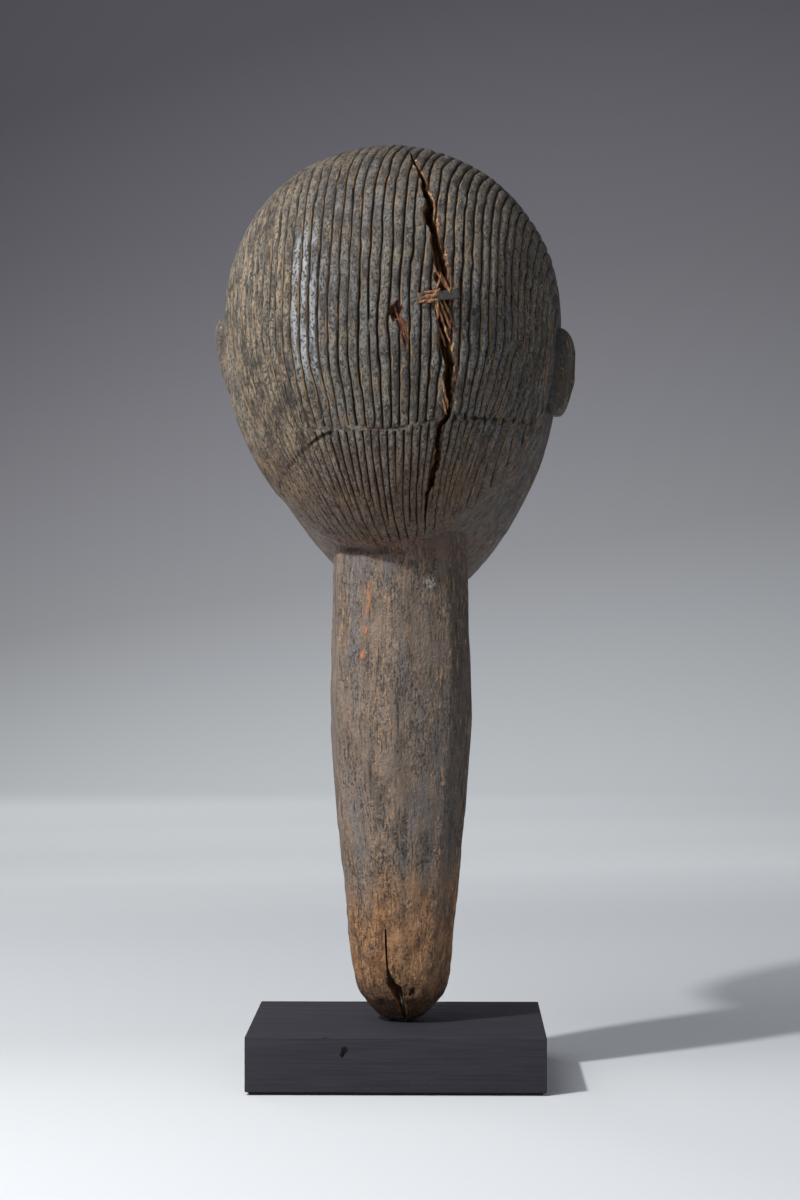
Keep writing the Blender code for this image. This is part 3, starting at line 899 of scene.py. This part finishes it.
def carve_neck(sizes):
    """The peg of a neck: a many-sided taper with adze marks, which ends in a blunt tip."""
    stretches = (np.linspace(24.3, 46, 26), np.arange(46, 216, 1.9), np.linspace(216, 232, 18), (245, 262))
    heights = np.unique(np.concatenate(stretches))
    angles = np.arange(-180, 180, 3.0)
    stations = smooth_curve(NECK_STATIONS, closed=False)
    radii = np.interp(heights, stations[:, 0], stations[:, 1])
    flat = sizes.neck_flatness * smooth_step(heights, 30, 60)[:, None]
    facets = neck_facets(angles, heights)
    reach = radii[:, None] * (1 + flat * (facets - 1) + 0.022 * flat)
    ledge = 0.1 + 1.7 * lump((angles + 38) / 42)
    ragged = heights[:, None] + 0.9 * noise_on_lines(angles[None, :] / 14, heights[:, None] * 0, 45)
    reach = reach - ledge[None, :] * smooth_step(ragged, NECK_TOP - 0.6, NECK_TOP + 1.8)
    sideways, back = np.sin(np.radians(angles))[None, :], np.cos(np.radians(angles))[None, :]
    places = np.stack(
        [ROD_X + reach * sideways, ROD_Y - NECK_DEPTH_RATIO * reach * back, heights[:, None] + 0 * reach],
        axis=-1,
    )
    lift = 0.5 * soft_noise(places, (16, 16, 26), 51) + 0.3 * soft_noise(places, (5, 5, 16), 52)
    lift -= 0.55 * smooth_step(soft_noise(places, (3.2, 3.2, 11), 53), 0.3, 0.75)
    rough = smooth_step(heights, 150, 60)[:, None]
    lift -= 0.5 * rough * smooth_step(soft_noise(places, (4.2, 4.2, 5.5), 54), 0.0, 0.6)
    lift += 0.2 * rough * soft_noise(places, (2.4, 2.4, 3.2), 55)
    lift *= smooth_step(heights, 24, 30)[:, None]
    places[..., 0] += lift * sideways
    places[..., 1] -= lift * back
    return lofted("neck", places)


# ---------------------------------------------------------------- cuts in the carving


# Height, left edge and right edge of the crack as seen from behind, from the top down
CRACK = (
    (394, 5.6, 6.0), (391, 5.7, 6.8), (386, 7.4, 9.0), (382, 9.0, 10.6), (377, 10.2, 12.6), (372, 11.4, 14.0),
    (368, 12.2, 15.4), (364, 11.2, 16.2), (360, 11.8, 16.8), (354, 13.4, 18.2), (347, 14.8, 20.2),
    (339, 15.8, 22.0), (334, 15.9, 22.6), (326, 16.4, 22.6), (318, 16.8, 22.8), (306, 18.0, 24.0),
    (300, 18.8, 24.6), (290, 19.6, 24.4), (284, 20.2, 23.9), (279.5, 19.6, 23.2), (277, 16.4, 20.8),
    (270, 16.0, 19.6), (262, 15.0, 18.4), (254, 13.2, 16.4), (247, 12.0, 13.9), (240, 11.5, 12.5),
    (234.5, 12.1, 12.4),
)  # fmt: skip
# The split in the tip of the neck, in the same way
TIP_SPLIT = (
    (66, -5.0, -4.7), (60, -4.9, -4.4), (52, -4.7, -4.1), (48.5, -4.3, -3.7), (45, -4.1, -2.4),
    (42.5, -4.0, -0.9), (40.5, -3.6, 1.4), (39, -2.8, 2.4), (37, -1.6, 2.8), (34, -0.2, 3.1),
    (31, 0.8, 3.6), (28, 1.9, 3.9), (25, 2.4, 4.1), (23, 2.6, 4.2),
)  # fmt: skip


def split_cutter(name, stations, back, deep, jag, seed, crest=0, foot=0, hold=0.35, step=0.5):
    """A cutter for a split: jagged edges seen from behind, walls that close in and carry the grain.

    It reaches from back to deep along Y, and hold is the share of that before the walls start to close
    in. crest and foot are how much further forwards it goes at the crown and at the nape.
    """
    stations = np.array(stations, float)[::-1]
    heights = np.arange(stations[0, 0], stations[-1, 0], step)
    left, right = (np.interp(heights, stations[:, 0], stations[:, side]) for side in (1, 2))
    tall = np.stack([heights * 0, heights * 0, heights], axis=-1)
    bite = soft_noise(tall, 3.5, seed) + 0.6 * soft_noise(tall, 1.4, seed + 1)
    other = soft_noise(tall, 4.5, seed + 2) + 0.6 * soft_noise(tall, 1.2, seed + 3)
    width = right - left
    left = left + jag * bite * np.clip(width / 3, 0.2, 1)
    right = right + jag * other * np.clip(width / 3, 0.2, 1)
    levels = np.concatenate([[0], np.linspace(0.25, 1, 12)])
    lean = foot * np.interp(heights, (235, 290), (1, 0))[:, None]
    floor = np.interp(heights, (350, 394), (deep, deep + crest))[:, None] + lean
    walls = []
    for side, edge in ((-1, left), (1, right)):
        middle = (left + right) / 2
        close = np.clip((levels - hold) / (1 - hold), 0, 1)[None, :]
        across = edge[:, None] + (middle - edge)[:, None] * close * 0.8
        depth = back + lean + (floor - back - lean) * levels[None, :] + 0 * across
        spots = np.stack([across, depth, heights[:, None] + 0 * across], axis=-1)
        grain = 0.45 * soft_noise(spots, (1.5, 1.1, 9), seed + 4 + side) * np.clip(width, 0.3, 2)[:, None] / 2
        spots[..., 0] += grain + side * 0.12
        walls.append(spots)
    rings = np.concatenate([walls[0], walls[1][:, ::-1]], axis=1)
    return lofted(name, rings)


def pit_cutter(name, centre, half, lean, seed):
    """A torn pocket in the surface: an uneven oval that leans by so many degrees to the right."""
    polar = np.linspace(0.05, math.pi - 0.05, 20)[:, None]
    turned = full_turn(32)[None, :]
    shape = [np.sin(polar) * np.cos(turned), np.cos(polar) + 0 * turned, np.sin(polar) * np.sin(turned)]
    shape = np.stack(shape, axis=-1)
    shape *= 1 + 0.4 * soft_noise(shape, (0.45, 2, 0.7), seed)[..., None]
    shape = shape * half @ np.array(Matrix.Rotation(math.radians(-lean), 3, "Y"))
    return lofted(name, np.array(centre) + shape)


def upright_cutter(name, radius, bottom, top, around=48):
    """A cylinder about the rod's axis."""
    return lofted(name, about_rod(radius, full_turn(around), np.linspace(bottom, top, 5)[:, None]))


# Splinters: one end, the other end, width and thickness at the middle
CRACK_SPLINTERS = (
    ((16.6, -72.6, 339.0), (21.9, -70.4, 330.5), 1.5, 0.8),
    ((18.4, -71.0, 338.4), (22.7, -69.4, 331.0), 1.1, 0.7),
    ((17.0, -73.4, 330.8), (18.9, -71.8, 337.6), 1.3, 0.9),
    ((19.6, -71.6, 336.0), (22.6, -70.8, 329.6), 1.2, 0.7),
    ((17.4, -73.0, 327.8), (22.9, -70.6, 315.0), 1.9, 1.0),
    ((19.4, -71.4, 328.0), (23.6, -69.6, 318.0), 1.4, 0.8),
    ((17.6, -71.0, 323.6), (22.6, -68.6, 309.6), 1.6, 0.9),
    ((17.2, -70.0, 318.6), (21.0, -68.2, 307.6), 1.2, 0.8),
    ((17.2, -74.4, 327.4), (17.6, -73.4, 318.8), 2.2, 1.4),
    ((18.9, -70.6, 295.0), (20.7, -69.2, 287.4), 1.4, 0.8),
    ((19.6, -70.2, 291.6), (21.8, -69.0, 282.4), 1.5, 0.8),
    ((19.4, -70.4, 287.4), (21.2, -69.0, 280.0), 1.4, 0.8),
    ((8.8, -75.6, 325.2), (14.8, -75.3, 326.6), 1.5, 1.0),
    ((10.2, -75.7, 327.0), (17.6, -75.2, 328.8), 2.2, 1.5),
    ((12.0, -75.6, 329.4), (17.8, -75.0, 330.4), 1.5, 1.1),
    ((12.6, -75.7, 325.2), (17.8, -75.1, 327.0), 1.7, 1.2),
    ((14.6, -75.6, 326.8), (18.6, -74.8, 331.2), 1.4, 1.1),
    ((0.6, -73.6, 321.6), (4.6, -74.0, 310.4), 1.0, 0.6),
    ((2.2, -73.4, 319.4), (3.4, -73.8, 311.4), 0.9, 0.6),
    ((-0.4, -72.6, 326.0), (1.6, -72.9, 319.0), 1.0, 0.6),
    ((2.6, -21.4, 39.4), (4.3, -14.8, 28.6), 1.5, 0.9),
)


def splinter(start, end, width, thickness, seed):
    """Rings of a splinter that tapers to both ends, flat towards the back of the head."""
    start, end = np.array(start), np.array(end)
    part = np.linspace(0, 1, 18)[:, None]
    ahead = (end - start) / np.linalg.norm(end - start)
    side = np.cross(ahead, (0, 1, 0))
    side /= np.linalg.norm(side)
    out = np.cross(side, ahead)
    line = start + (end - start) * part + 0.35 * np.sin(part * math.pi) * out
    line += 0.3 * soft_noise(line, 3, seed)[:, None] * side
    taper = np.sin(part * math.pi) ** 0.6 * (0.75 + 0.35 * soft_noise(line, 1.3, seed + 1)[:, None])
    taper = np.clip(taper, 0.06, None)[..., None]
    turned = full_turn(10)[None, :, None]
    rings = line[:, None, :] + taper * (width * np.cos(turned) * side + thickness * np.sin(turned) * out) / 2
    return rings + 0.1 * soft_noise(rings, (0.6, 0.6, 1.5), seed + 2)[..., None]


STAPLE_LENGTH, STAPLE_WIDTH, STAPLE_THICKNESS = 19.0, 3.8, 1.2
STAPLE_STANDS_OUT, STAPLE_LEG, STAPLE_BEND = 0.5, 10.0, 0.9
STAPLE_BESIDE, STAPLE_ABOVE = 32, 11.5  # from the head's centre, in the head's own axes
STAPLE_SLOPE = math.radians(-8)


def staple_axes():
    """The staple's frame on the back of the head, in millimetres: X along, Y into the wood, Z up."""
    here = back_of_head(STAPLE_BESIDE, STAPLE_ABOVE)
    across = (back_of_head(STAPLE_BESIDE + 1, STAPLE_ABOVE) - here).normalized()
    above = back_of_head(STAPLE_BESIDE, STAPLE_ABOVE + 1) - here
    into = above.cross(across).normalized()
    axes = Matrix((across, into, across.cross(into))).transposed().to_4x4()
    return np.array(Matrix.Translation(here) @ axes @ Matrix.Rotation(STAPLE_SLOPE, 4, "Y"))


def staple_rings(grow):
    """Rings along the staple from one leg's tip to the other's, that much larger all round."""
    half = STAPLE_LENGTH / 2 - STAPLE_THICKNESS / 2
    middle = STAPLE_THICKNESS / 2 - STAPLE_STANDS_OUT
    bend = STAPLE_BEND
    leg = [(half, STAPLE_LEG + grow), (half, 6), (half, 3), (half, middle + bend)]
    leg += [(half - bend * 0.3, middle + bend * 0.3)]
    strap = [(across, middle) for across in np.linspace(-half + bend, half - bend, 22)]
    line = np.array([*((-across, into) for across, into in leg), *strap, *reversed(leg)])
    ahead = np.gradient(line, axis=0)
    ahead /= np.linalg.norm(ahead, axis=1, keepdims=True)
    side = np.stack([ahead[:, 1], -ahead[:, 0]], axis=1)
    turned = full_turn(24)
    thick = squared_off(np.cos(turned), 0.4) * (STAPLE_THICKNESS / 2 + grow)
    wide = squared_off(np.sin(turned), 0.4) * (STAPLE_WIDTH / 2 + grow)
    along = line[:, None, :] + side[:, None, :] * thick[:, None]
    return np.concatenate([along, np.broadcast_to(wide[:, None], (*along.shape[:2], 1))], axis=-1)


def placed(rings, axes):
    """Rings moved from their own axes to the frame's."""
    return rings @ axes[:3, :3].T + axes[:3, 3]


# ---------------------------------------------------------------- properties


class DollSizes(bpy.types.PropertyGroup):
    """Sizes that a user may change"""

    groove_count: bpy.props.IntProperty(
        name="Grooves", description="Combed grooves from ear to ear", default=53, min=20, max=53
    )
    groove_depth: bpy.props.FloatProperty(
        name="Groove depth", description="Above the cut line", default=1.7 * MM, unit="LENGTH"
    )
    lower_groove_depth: bpy.props.FloatProperty(
        name="Lower groove depth", description="Below the cut line", default=1.7 * MM, unit="LENGTH"
    )
    neck_flatness: bpy.props.FloatProperty(
        name="Neck facets", description="0 is round, 1 is flat-sided", default=0.93, subtype="FACTOR"
    )
    thread_pitch: bpy.props.FloatProperty(
        name="Thread pitch", description="On the rod and in the nut", default=1.0 * MM, unit="LENGTH"
    )


def colour(name, hex_colour, description):
    """A colour property with this default."""
    return bpy.props.FloatVectorProperty(
        name=name, description=description, size=4, subtype="COLOR", default=linear(hex_colour)
    )


class DollColours(bpy.types.PropertyGroup):
    """Colours that a user may change"""

    wood: colour("Wood", "5c5850", "Smoked wood, the lighter patches")
    wood_dark: colour("Dark wood", "332e2a", "Smoked wood, the darker patches")
    wood_tan: colour("Tan wood", "705e4b", "Where the smoke has worn thin")
    bare: colour("Bare wood", "8c7868", "Unsmoked skin of the neck and jaw")
    cool: colour("Cool wood", "6c6e72", "Bluish handled patches on the neck")
    worn: colour("Worn wood", "b08a62", "Streaks worn down to the wood")
    worn_edge: colour("Worn edge", "b5764a", "Orange wood on a worn edge of the neck")
    rubbed: colour("Rubbed wood", "ab7e53", "The handled end of the neck")
    rubbed_dark: colour("Rubbed dark wood", "775032", "Darker grain in the handled end")
    # Painted shade at the tip of the neck, darker towards the bottom
    tip_shade: colour("Smoky tip", "3f2d20", "The very end of the neck")
    # Also the painted shade on the groove floors
    pore_and_groove_shade: colour("Pore", "1d1712", "Pits, pores and groove floors")
    dust: colour("Dust", "717170", "Grey dust on the ridges")
    olive_dust: colour("Olive dust", "7d7363", "Warmer dust on the ridges")
    # Real tan dust, lightened on the lit left side as painted light
    warm_dust_and_light: colour("Warm dust", "95866f", "Tan dust on the left of the head")
    # Painted highlight: the sheen of ridges polished by handling, as a pale bluish colour
    polish_and_sheen: colour("Polished ridge", "a2a5aa", "Ridges polished by handling")
    fleck: colour("Fleck", "b9b2a6", "Pale specks")
    groove_wall: colour("Groove wall", "a08059", "Bare wood on the grooves' sides")
    earth: colour("Red earth", "8f5738", "Earth under the jaw")
    old_break: colour("Old break", "4a3126", "Weathered wood in the pit")
    split: colour("Split wood", "c9a677", "Pale fibre in the crack")
    split_dark: colour("Dark split wood", "7a4a28", "Orange-brown fibre in the crack")
    iron: colour("Iron", "565350", "Forge scale")
    rust: colour("Rust", "5c4636", "Rust in the dents")
    plinth: colour("Plinth", "39383e", "Black stain, lighter grain")
    plinth_dark: colour("Dark plinth", "323137", "Black stain, darker grain")
    plinth_speck: colour("Plinth speck", "6c6b70", "Dust specks in the wax")
    steel: colour("Steel", "b4b4b0", "Zinc plate")
    steel_bloom: colour("Steel bloom", "a2a3a2", "Dull bloom on the zinc")
    felt: colour("Felt", "151517", "Felt")
    felt_light: colour("Light felt", "2b2b2e", "Felt fibre tips")
    floor: colour("Floor", "d6d9db", "Background paper in front")
    # Painted shade: the darkest tone of the paper, at the top
    backdrop_top_shade: colour("Backdrop top", "49484e", "Background paper above the head")


# ---------------------------------------------------------------- operators


class DOLL_OT_carving(bpy.types.Operator):
    """Carve the head, ears and neck in one piece, with the crack, the pit and the rod's bore"""

    bl_idname = "doll.carving"
    bl_label = "Carving"

    def execute(self, context):
        sizes, colours = context.scene.doll_sizes, context.scene.doll_colours
        carving, marks = carve_head(sizes)
        spots = points_of(carving)
        # The crack's right edge has splintered away in flakes
        edge = np.interp(spots[:, 2], *np.array(CRACK)[::-1, (0, 2)].T) + 0.3
        chipped = (np.abs(spots[:, 0] - edge) < 0.75) & (spots[:, 1] < -20) & (np.abs(spots[:, 2] - 342) < 50)
        marks[chipped & (soft_noise(spots, (1, 1, 5), 73) > -0.35), 2] = CHIPPED_EDGE
        known = [np.hstack([spots, marks])]
        added = [carve_ear("left_ear", LEFT_EAR), carve_ear("right_ear", RIGHT_EAR), carve_neck(sizes)]
        cutters = [
            split_cutter("crack", CRACK, back=-92, deep=-46, jag=0.8, seed=71, crest=22, foot=17),
            split_cutter("tip_split", TIP_SPLIT, back=-30, deep=-6, jag=0.3, seed=81, hold=0.6),
            lofted("staple_seat", placed(staple_rings(0.3), staple_axes())),
            upright_cutter("bore", BORE_RADIUS, 10, BORE_TOP),
        ]
        pits = [
            pit_cutter("pit", (0.1, -76.0, 321.4), (2.9, 4.8, 4.7), lean=12, seed=61),
            pit_cutter("torn_strip", (3.2, -76.8, 315.2), (2.0, 3.8, 7.4), lean=-14, seed=62),
            pit_cutter("torn_point", (4.3, -76.3, 309.6), (1.2, 2.8, 4.6), lean=-10, seed=64),
            pit_cutter("tip_hollow", (6.4, -21.0, 38.2), (1.5, 3.2, 2.3), lean=10, seed=83),
        ]
        steps = (
            (added, SKIN, "UNION"),
            (cutters, FRESH_BREAK, "DIFFERENCE"),
            (pits, OLD_BREAK, "DIFFERENCE"),
        )
        for group, raw, operation in steps:
            for thing in group:
                spots = points_of(thing)
                known.append(np.hstack([spots, np.tile((0, 0, raw), (len(spots), 1))]))
                boolean(carving, thing, operation)
        self.mark(carving, np.vstack(known))
        finish_piece(carving, smoked_hardwood(colours), "doll", "carved_wood", "doll_carving", sharp=55)
        return {"FINISHED"}

    def mark(self, carving, known):
        """Gives each point of the finished carving the marks of the nearest point that it was made from."""
        tree = kdtree.KDTree(len(known))
        for index, spot in enumerate(known[:, :3].tolist()):
            tree.insert(spot, index)
        tree.balance()
        nearest = [tree.find(spot)[1] for spot in points_of(carving).tolist()]
        for column, name in enumerate(MARKS, start=3):
            layer = carving.data.attributes.new(name, "FLOAT", "POINT")
            layer.data.foreach_set("value", known[nearest, column].astype(np.float32))


class DOLL_OT_staple(bpy.types.Operator):
    """Forge the iron staple that holds the crack, and the torn fibres round it"""

    bl_idname = "doll.staple"
    bl_label = "Iron staple"

    def execute(self, context):
        colours = context.scene.doll_colours
        rings = staple_rings(0)
        dents = 0.16 * soft_noise(rings, 2.2, 91)
        rings = rings + np.stack([0.3 * dents, dents * (rings[..., 1] < 1), 0.8 * dents], axis=-1)
        staple = lofted("repair_staple_forged", placed(rings, staple_axes()))
        finish_piece(staple, forged_iron(colours), "doll", "forged_iron", "repair_staple")
        splinters = [splinter(*facts, seed=101 + 3 * index) for index, facts in enumerate(CRACK_SPLINTERS)]
        fibres = joined("torn_fibres", [lofted("splinter", rings) for rings in splinters])
        finish_piece(fibres, split_wood(colours), "doll", "carved_wood", sharp=60)
        return {"FINISHED"}


class DOLL_OT_plinth(bpy.types.Operator):
    """Make the black plinth, with eased edges, a nick and the holes for the rod"""

    bl_idname = "doll.plinth"
    bl_label = "Plinth"

    def execute(self, context):
        low, high = in_mm(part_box("plinth_block"))
        shape = block_between(low, high)
        bmesh.ops.bevel(shape, geom=shape.edges[:], offset=0.5 * MM, segments=3, affect="EDGES", profile=0.5)
        plinth = as_object("plinth_block_waxed", shape)
        front = low[1]
        cutters = [
            pit_cutter("nick", (-21.3, front, 17.8), (1.5, 1.7, 2.9), lean=14, seed=95),
            pit_cutter("check", (-27.9, front, high[2] - 0.2), (2.4, 0.45, 0.3), lean=-4, seed=96),
            upright_cutter("hole", BORE_RADIUS, BELOW_PLINTH, ABOVE_PLINTH),
            upright_cutter("counterbore", COUNTERBORE_RADIUS, BELOW_PLINTH, COUNTERBORE_TOP, 64),
        ]
        for cutter in cutters:
            boolean(plinth, cutter, "DIFFERENCE")
        colours = context.scene.doll_colours
        finish_piece(plinth, ebonised_wood(colours), "plinth", "black_stained_wood", "plinth_block", sharp=50)
        return {"FINISHED"}


THREAD_LENGTH, THREAD_DEPTH, NUT_THREAD_DEPTH = 14, 0.55, 0.25


def turned_rod(pitch):
    """The rod: plain with an eased top, and threaded at its lower end."""
    low, high = in_mm(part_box("mount_rod"))
    bottom, top, radius = low[2], high[2], (high[0] - low[0]) / 2
    thread_end = bottom + THREAD_LENGTH
    heights = np.concatenate([np.arange(bottom, thread_end, 0.1), np.linspace(thread_end, top - 1, 12)])
    heights = np.concatenate([heights, top - 1 + np.sin(np.linspace(0.2, math.pi / 2, 6))])[:, None]
    turned = full_turn(40)[None, :]
    turn = (heights / pitch - turned / (2 * math.pi)) % 1
    cut = THREAD_DEPTH * np.abs(2 * turn - 1) * smooth_step(thread_end - 1.2 - heights, 0, 1.5)
    ease = 1.1 * (1 - np.sqrt(np.clip(1 - np.clip(heights - top + 1.1, 0, 1.1) ** 2 / 1.25, 0, 1)))
    ease = ease + 0.5 * smooth_step(bottom + 0.8 - heights, 0, 0.8)
    return lofted("mount_rod_threaded", about_rod(radius - np.maximum(cut, ease), turned, heights))


def pressed_washer():
    """A flat washer whose rims are eased by the press, more outside than in."""
    low, high = in_mm(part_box("rod_washer"))
    outer, inner, ease = (high[0] - low[0]) / 2, BORE_RADIUS, 0.3
    bottom, top = low[2], high[2]
    section = [(outer - ease, bottom), (outer, bottom + ease), (outer, top - ease), (outer - ease, top)]
    section += [((outer + inner) / 2, top), (inner + 0.1, top), (inner, top - 0.15), (inner, bottom + ease)]
    section += [(inner + ease, bottom), ((outer + inner) / 2, bottom)]
    radii, heights = np.array(section).T
    return ring_solid("rod_washer_pressed", about_rod(radii, full_turn(72)[:, None], heights))


def chamfered_nut(pitch):
    """A hexagonal nut whose corners are turned off at both ends, with its thread showing inside."""
    low, high = in_mm(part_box("rod_nut"))
    bottom, top = low[2], high[2]
    flats = (high[1] - low[1]) / 2
    turned = np.radians(np.arange(0, 360, 3.0))[:, None]
    steps = np.array((0, 0.25, 0.5, 0.8))
    heights = np.concatenate([bottom + steps, top - steps[::-1]])
    from_end = np.minimum(heights - bottom, top - heights)
    corner = turned % math.radians(60) - math.radians(30)
    outer = np.minimum(flats / np.cos(corner), flats * 0.97 + 1.6 * from_end)
    inner_heights = np.linspace(top - 0.1, bottom + 0.1, 26)
    turn = (inner_heights / pitch - turned / (2 * math.pi)) % 1
    inner = BORE_RADIUS + NUT_THREAD_DEPTH * np.abs(2 * turn - 1)
    radii = np.concatenate([outer, inner], axis=1)
    return ring_solid("rod_nut_chamfered", about_rod(radii, turned, np.concatenate([heights, inner_heights])))


def felt_sheet():
    """The felt, with a slightly uneven cut edge."""
    low, high = in_mm(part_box("underside_felt"))
    shape = block_between(low, high)
    long_edges = [edge for edge in shape.edges if edge.calc_length() > 10 * MM]
    bmesh.ops.subdivide_edges(shape, edges=long_edges, cuts=47, use_grid_fill=True)
    for vertex in shape.verts:
        spot = np.array(vertex.co) / MM
        outward = np.sign(spot[:2]) * (np.abs(spot[:2]) > (high[:2] - 0.01))
        spot[:2] -= outward * 0.12 * (1 + soft_noise(spot[None, :], 3.0, 97)[0])
        vertex.co = spot * MM
    return as_object("underside_felt_sheet", shape)


class DOLL_OT_mount(bpy.types.Operator):
    """Make the threaded rod, the washer, the nut and the felt under the plinth"""

    bl_idname = "doll.mount"
    bl_label = "Rod, washer, nut and felt"

    def execute(self, context):
        colours = context.scene.doll_colours
        steel = zinc_plated_steel(colours)
        pitch = context.scene.doll_sizes.thread_pitch / MM
        finish_piece(turned_rod(pitch), steel, "plinth", "steel", "mount_rod")
        finish_piece(pressed_washer(), steel, "plinth", "steel", "rod_washer", sharp=50)
        finish_piece(chamfered_nut(pitch), steel, "plinth", "steel", "rod_nut", sharp=30)
        finish_piece(felt_sheet(), pressed_felt(colours), "plinth", "felt", "underside_felt")
        return {"FINISHED"}


class DOLL_OT_stage(bpy.types.Operator):
    """Set the pale floor and backdrop, the studio lights and the camera behind the head"""

    bl_idname = "doll.stage"
    bl_label = "Floor, lights and camera"

    def execute(self, context):
        scene = context.scene
        level, floor_end, bend, wall_top, half_width = -0.2, 1900, 700, 3200, 4200
        line = [(y, level) for y in (-2600, *np.linspace(-1500, floor_end, 12))]
        for turn in np.linspace(0, math.pi / 2, 24)[1:]:
            line.append((floor_end + bend * math.sin(turn), bend - bend * math.cos(turn) + level))
        line.append((floor_end + bend, wall_top))
        across = np.linspace(-half_width, half_width, 9)
        points = [(x, y, z) for y, z in line for x in across]
        floor = new_piece("studio_floor", points, grid_faces(len(line), len(across)))
        floor.data.shade_smooth()
        floor.data.materials.append(paper_backdrop(scene.doll_colours))

        camera_data = bpy.data.cameras.new("camera")
        camera_data.lens = 85
        camera_data.sensor_fit = "VERTICAL"
        camera_data.sensor_height = 36
        camera_data.clip_start = 0.05
        camera = bpy.data.objects.new("camera", camera_data)
        camera.location = (0.0196, -1.225, 0.1993)
        camera.rotation_euler = (math.radians(90 + 0.26), 0, math.radians(0.87))
        scene.collection.objects.link(camera)
        scene.camera = camera

        # A small lamp at the upper left casts the sharp shadows, and the softboxes fill them
        self.add_light("key", (-0.48, -0.47, 0.76), (0, 0, 0.25), 0.05, 8.1)
        self.add_light("overhead_softbox", (-1.0, -0.9, 1.9), (0, 0, 0.1), 1.6, 15.0)
        self.add_light("backdrop_softbox", (-0.2, 0.8, 1.8), (-0.15, 2.0, 0.6), 1.0, 10.0, spread=85)
        self.add_light("face_side_fill", (-1.2, 1.6, 0.9), (0, 0, 0.3), 0.8, 4.5)
        world = bpy.data.worlds.new("studio")
        world.use_nodes = True
        background = world.node_tree.nodes["Background"]
        background.inputs["Color"].default_value = linear("f2f5ff")
        background.inputs["Strength"].default_value = 0.315
        scene.world = world
        scene.view_settings.view_transform = "Standard"
        return {"FINISHED"}

    def add_light(self, name, place, target, size, power, spread=180):
        """A round lamp at a place in metres, aimed at its target."""
        data = bpy.data.lights.new(name, "AREA")
        data.shape = "DISK"
        data.size = size
        data.energy = power
        data.spread = math.radians(spread)
        light = bpy.data.objects.new(name, data)
        light.location = place
        light.rotation_euler = (Vector(target) - Vector(place)).to_track_quat("-Z", "Y").to_euler()
        bpy.context.scene.collection.objects.link(light)


class DOLL_PT_panel(bpy.types.Panel):
    """The doll's pieces, sizes and colours"""

    bl_idname = "DOLL_PT_panel"
    bl_label = "Carved Doll"
    bl_space_type = "VIEW_3D"
    bl_region_type = "UI"
    bl_category = "Carved Doll"

    def draw(self, context):
        for operator in OPERATORS:
            self.layout.operator(operator.bl_idname)
        for group in (context.scene.doll_sizes, context.scene.doll_colours):
            box = self.layout.box()
            for name in group.__annotations__:
                box.prop(group, name)


OPERATORS = (DOLL_OT_carving, DOLL_OT_staple, DOLL_OT_plinth, DOLL_OT_mount, DOLL_OT_stage)
CLASSES = (DollSizes, DollColours, *OPERATORS, DOLL_PT_panel)


def register():
    for each in CLASSES:
        bpy.utils.register_class(each)
    bpy.types.Scene.doll_sizes = bpy.props.PointerProperty(type=DollSizes)
    bpy.types.Scene.doll_colours = bpy.props.PointerProperty(type=DollColours)


def unregister():
    del bpy.types.Scene.doll_colours
    del bpy.types.Scene.doll_sizes
    for each in reversed(CLASSES):
        bpy.utils.unregister_class(each)


def main():
    register()
    bpy.ops.doll.carving()
    bpy.ops.doll.staple()
    bpy.ops.doll.plinth()
    bpy.ops.doll.mount()
    bpy.ops.doll.stage()


if __name__ == "__main__":
    main()
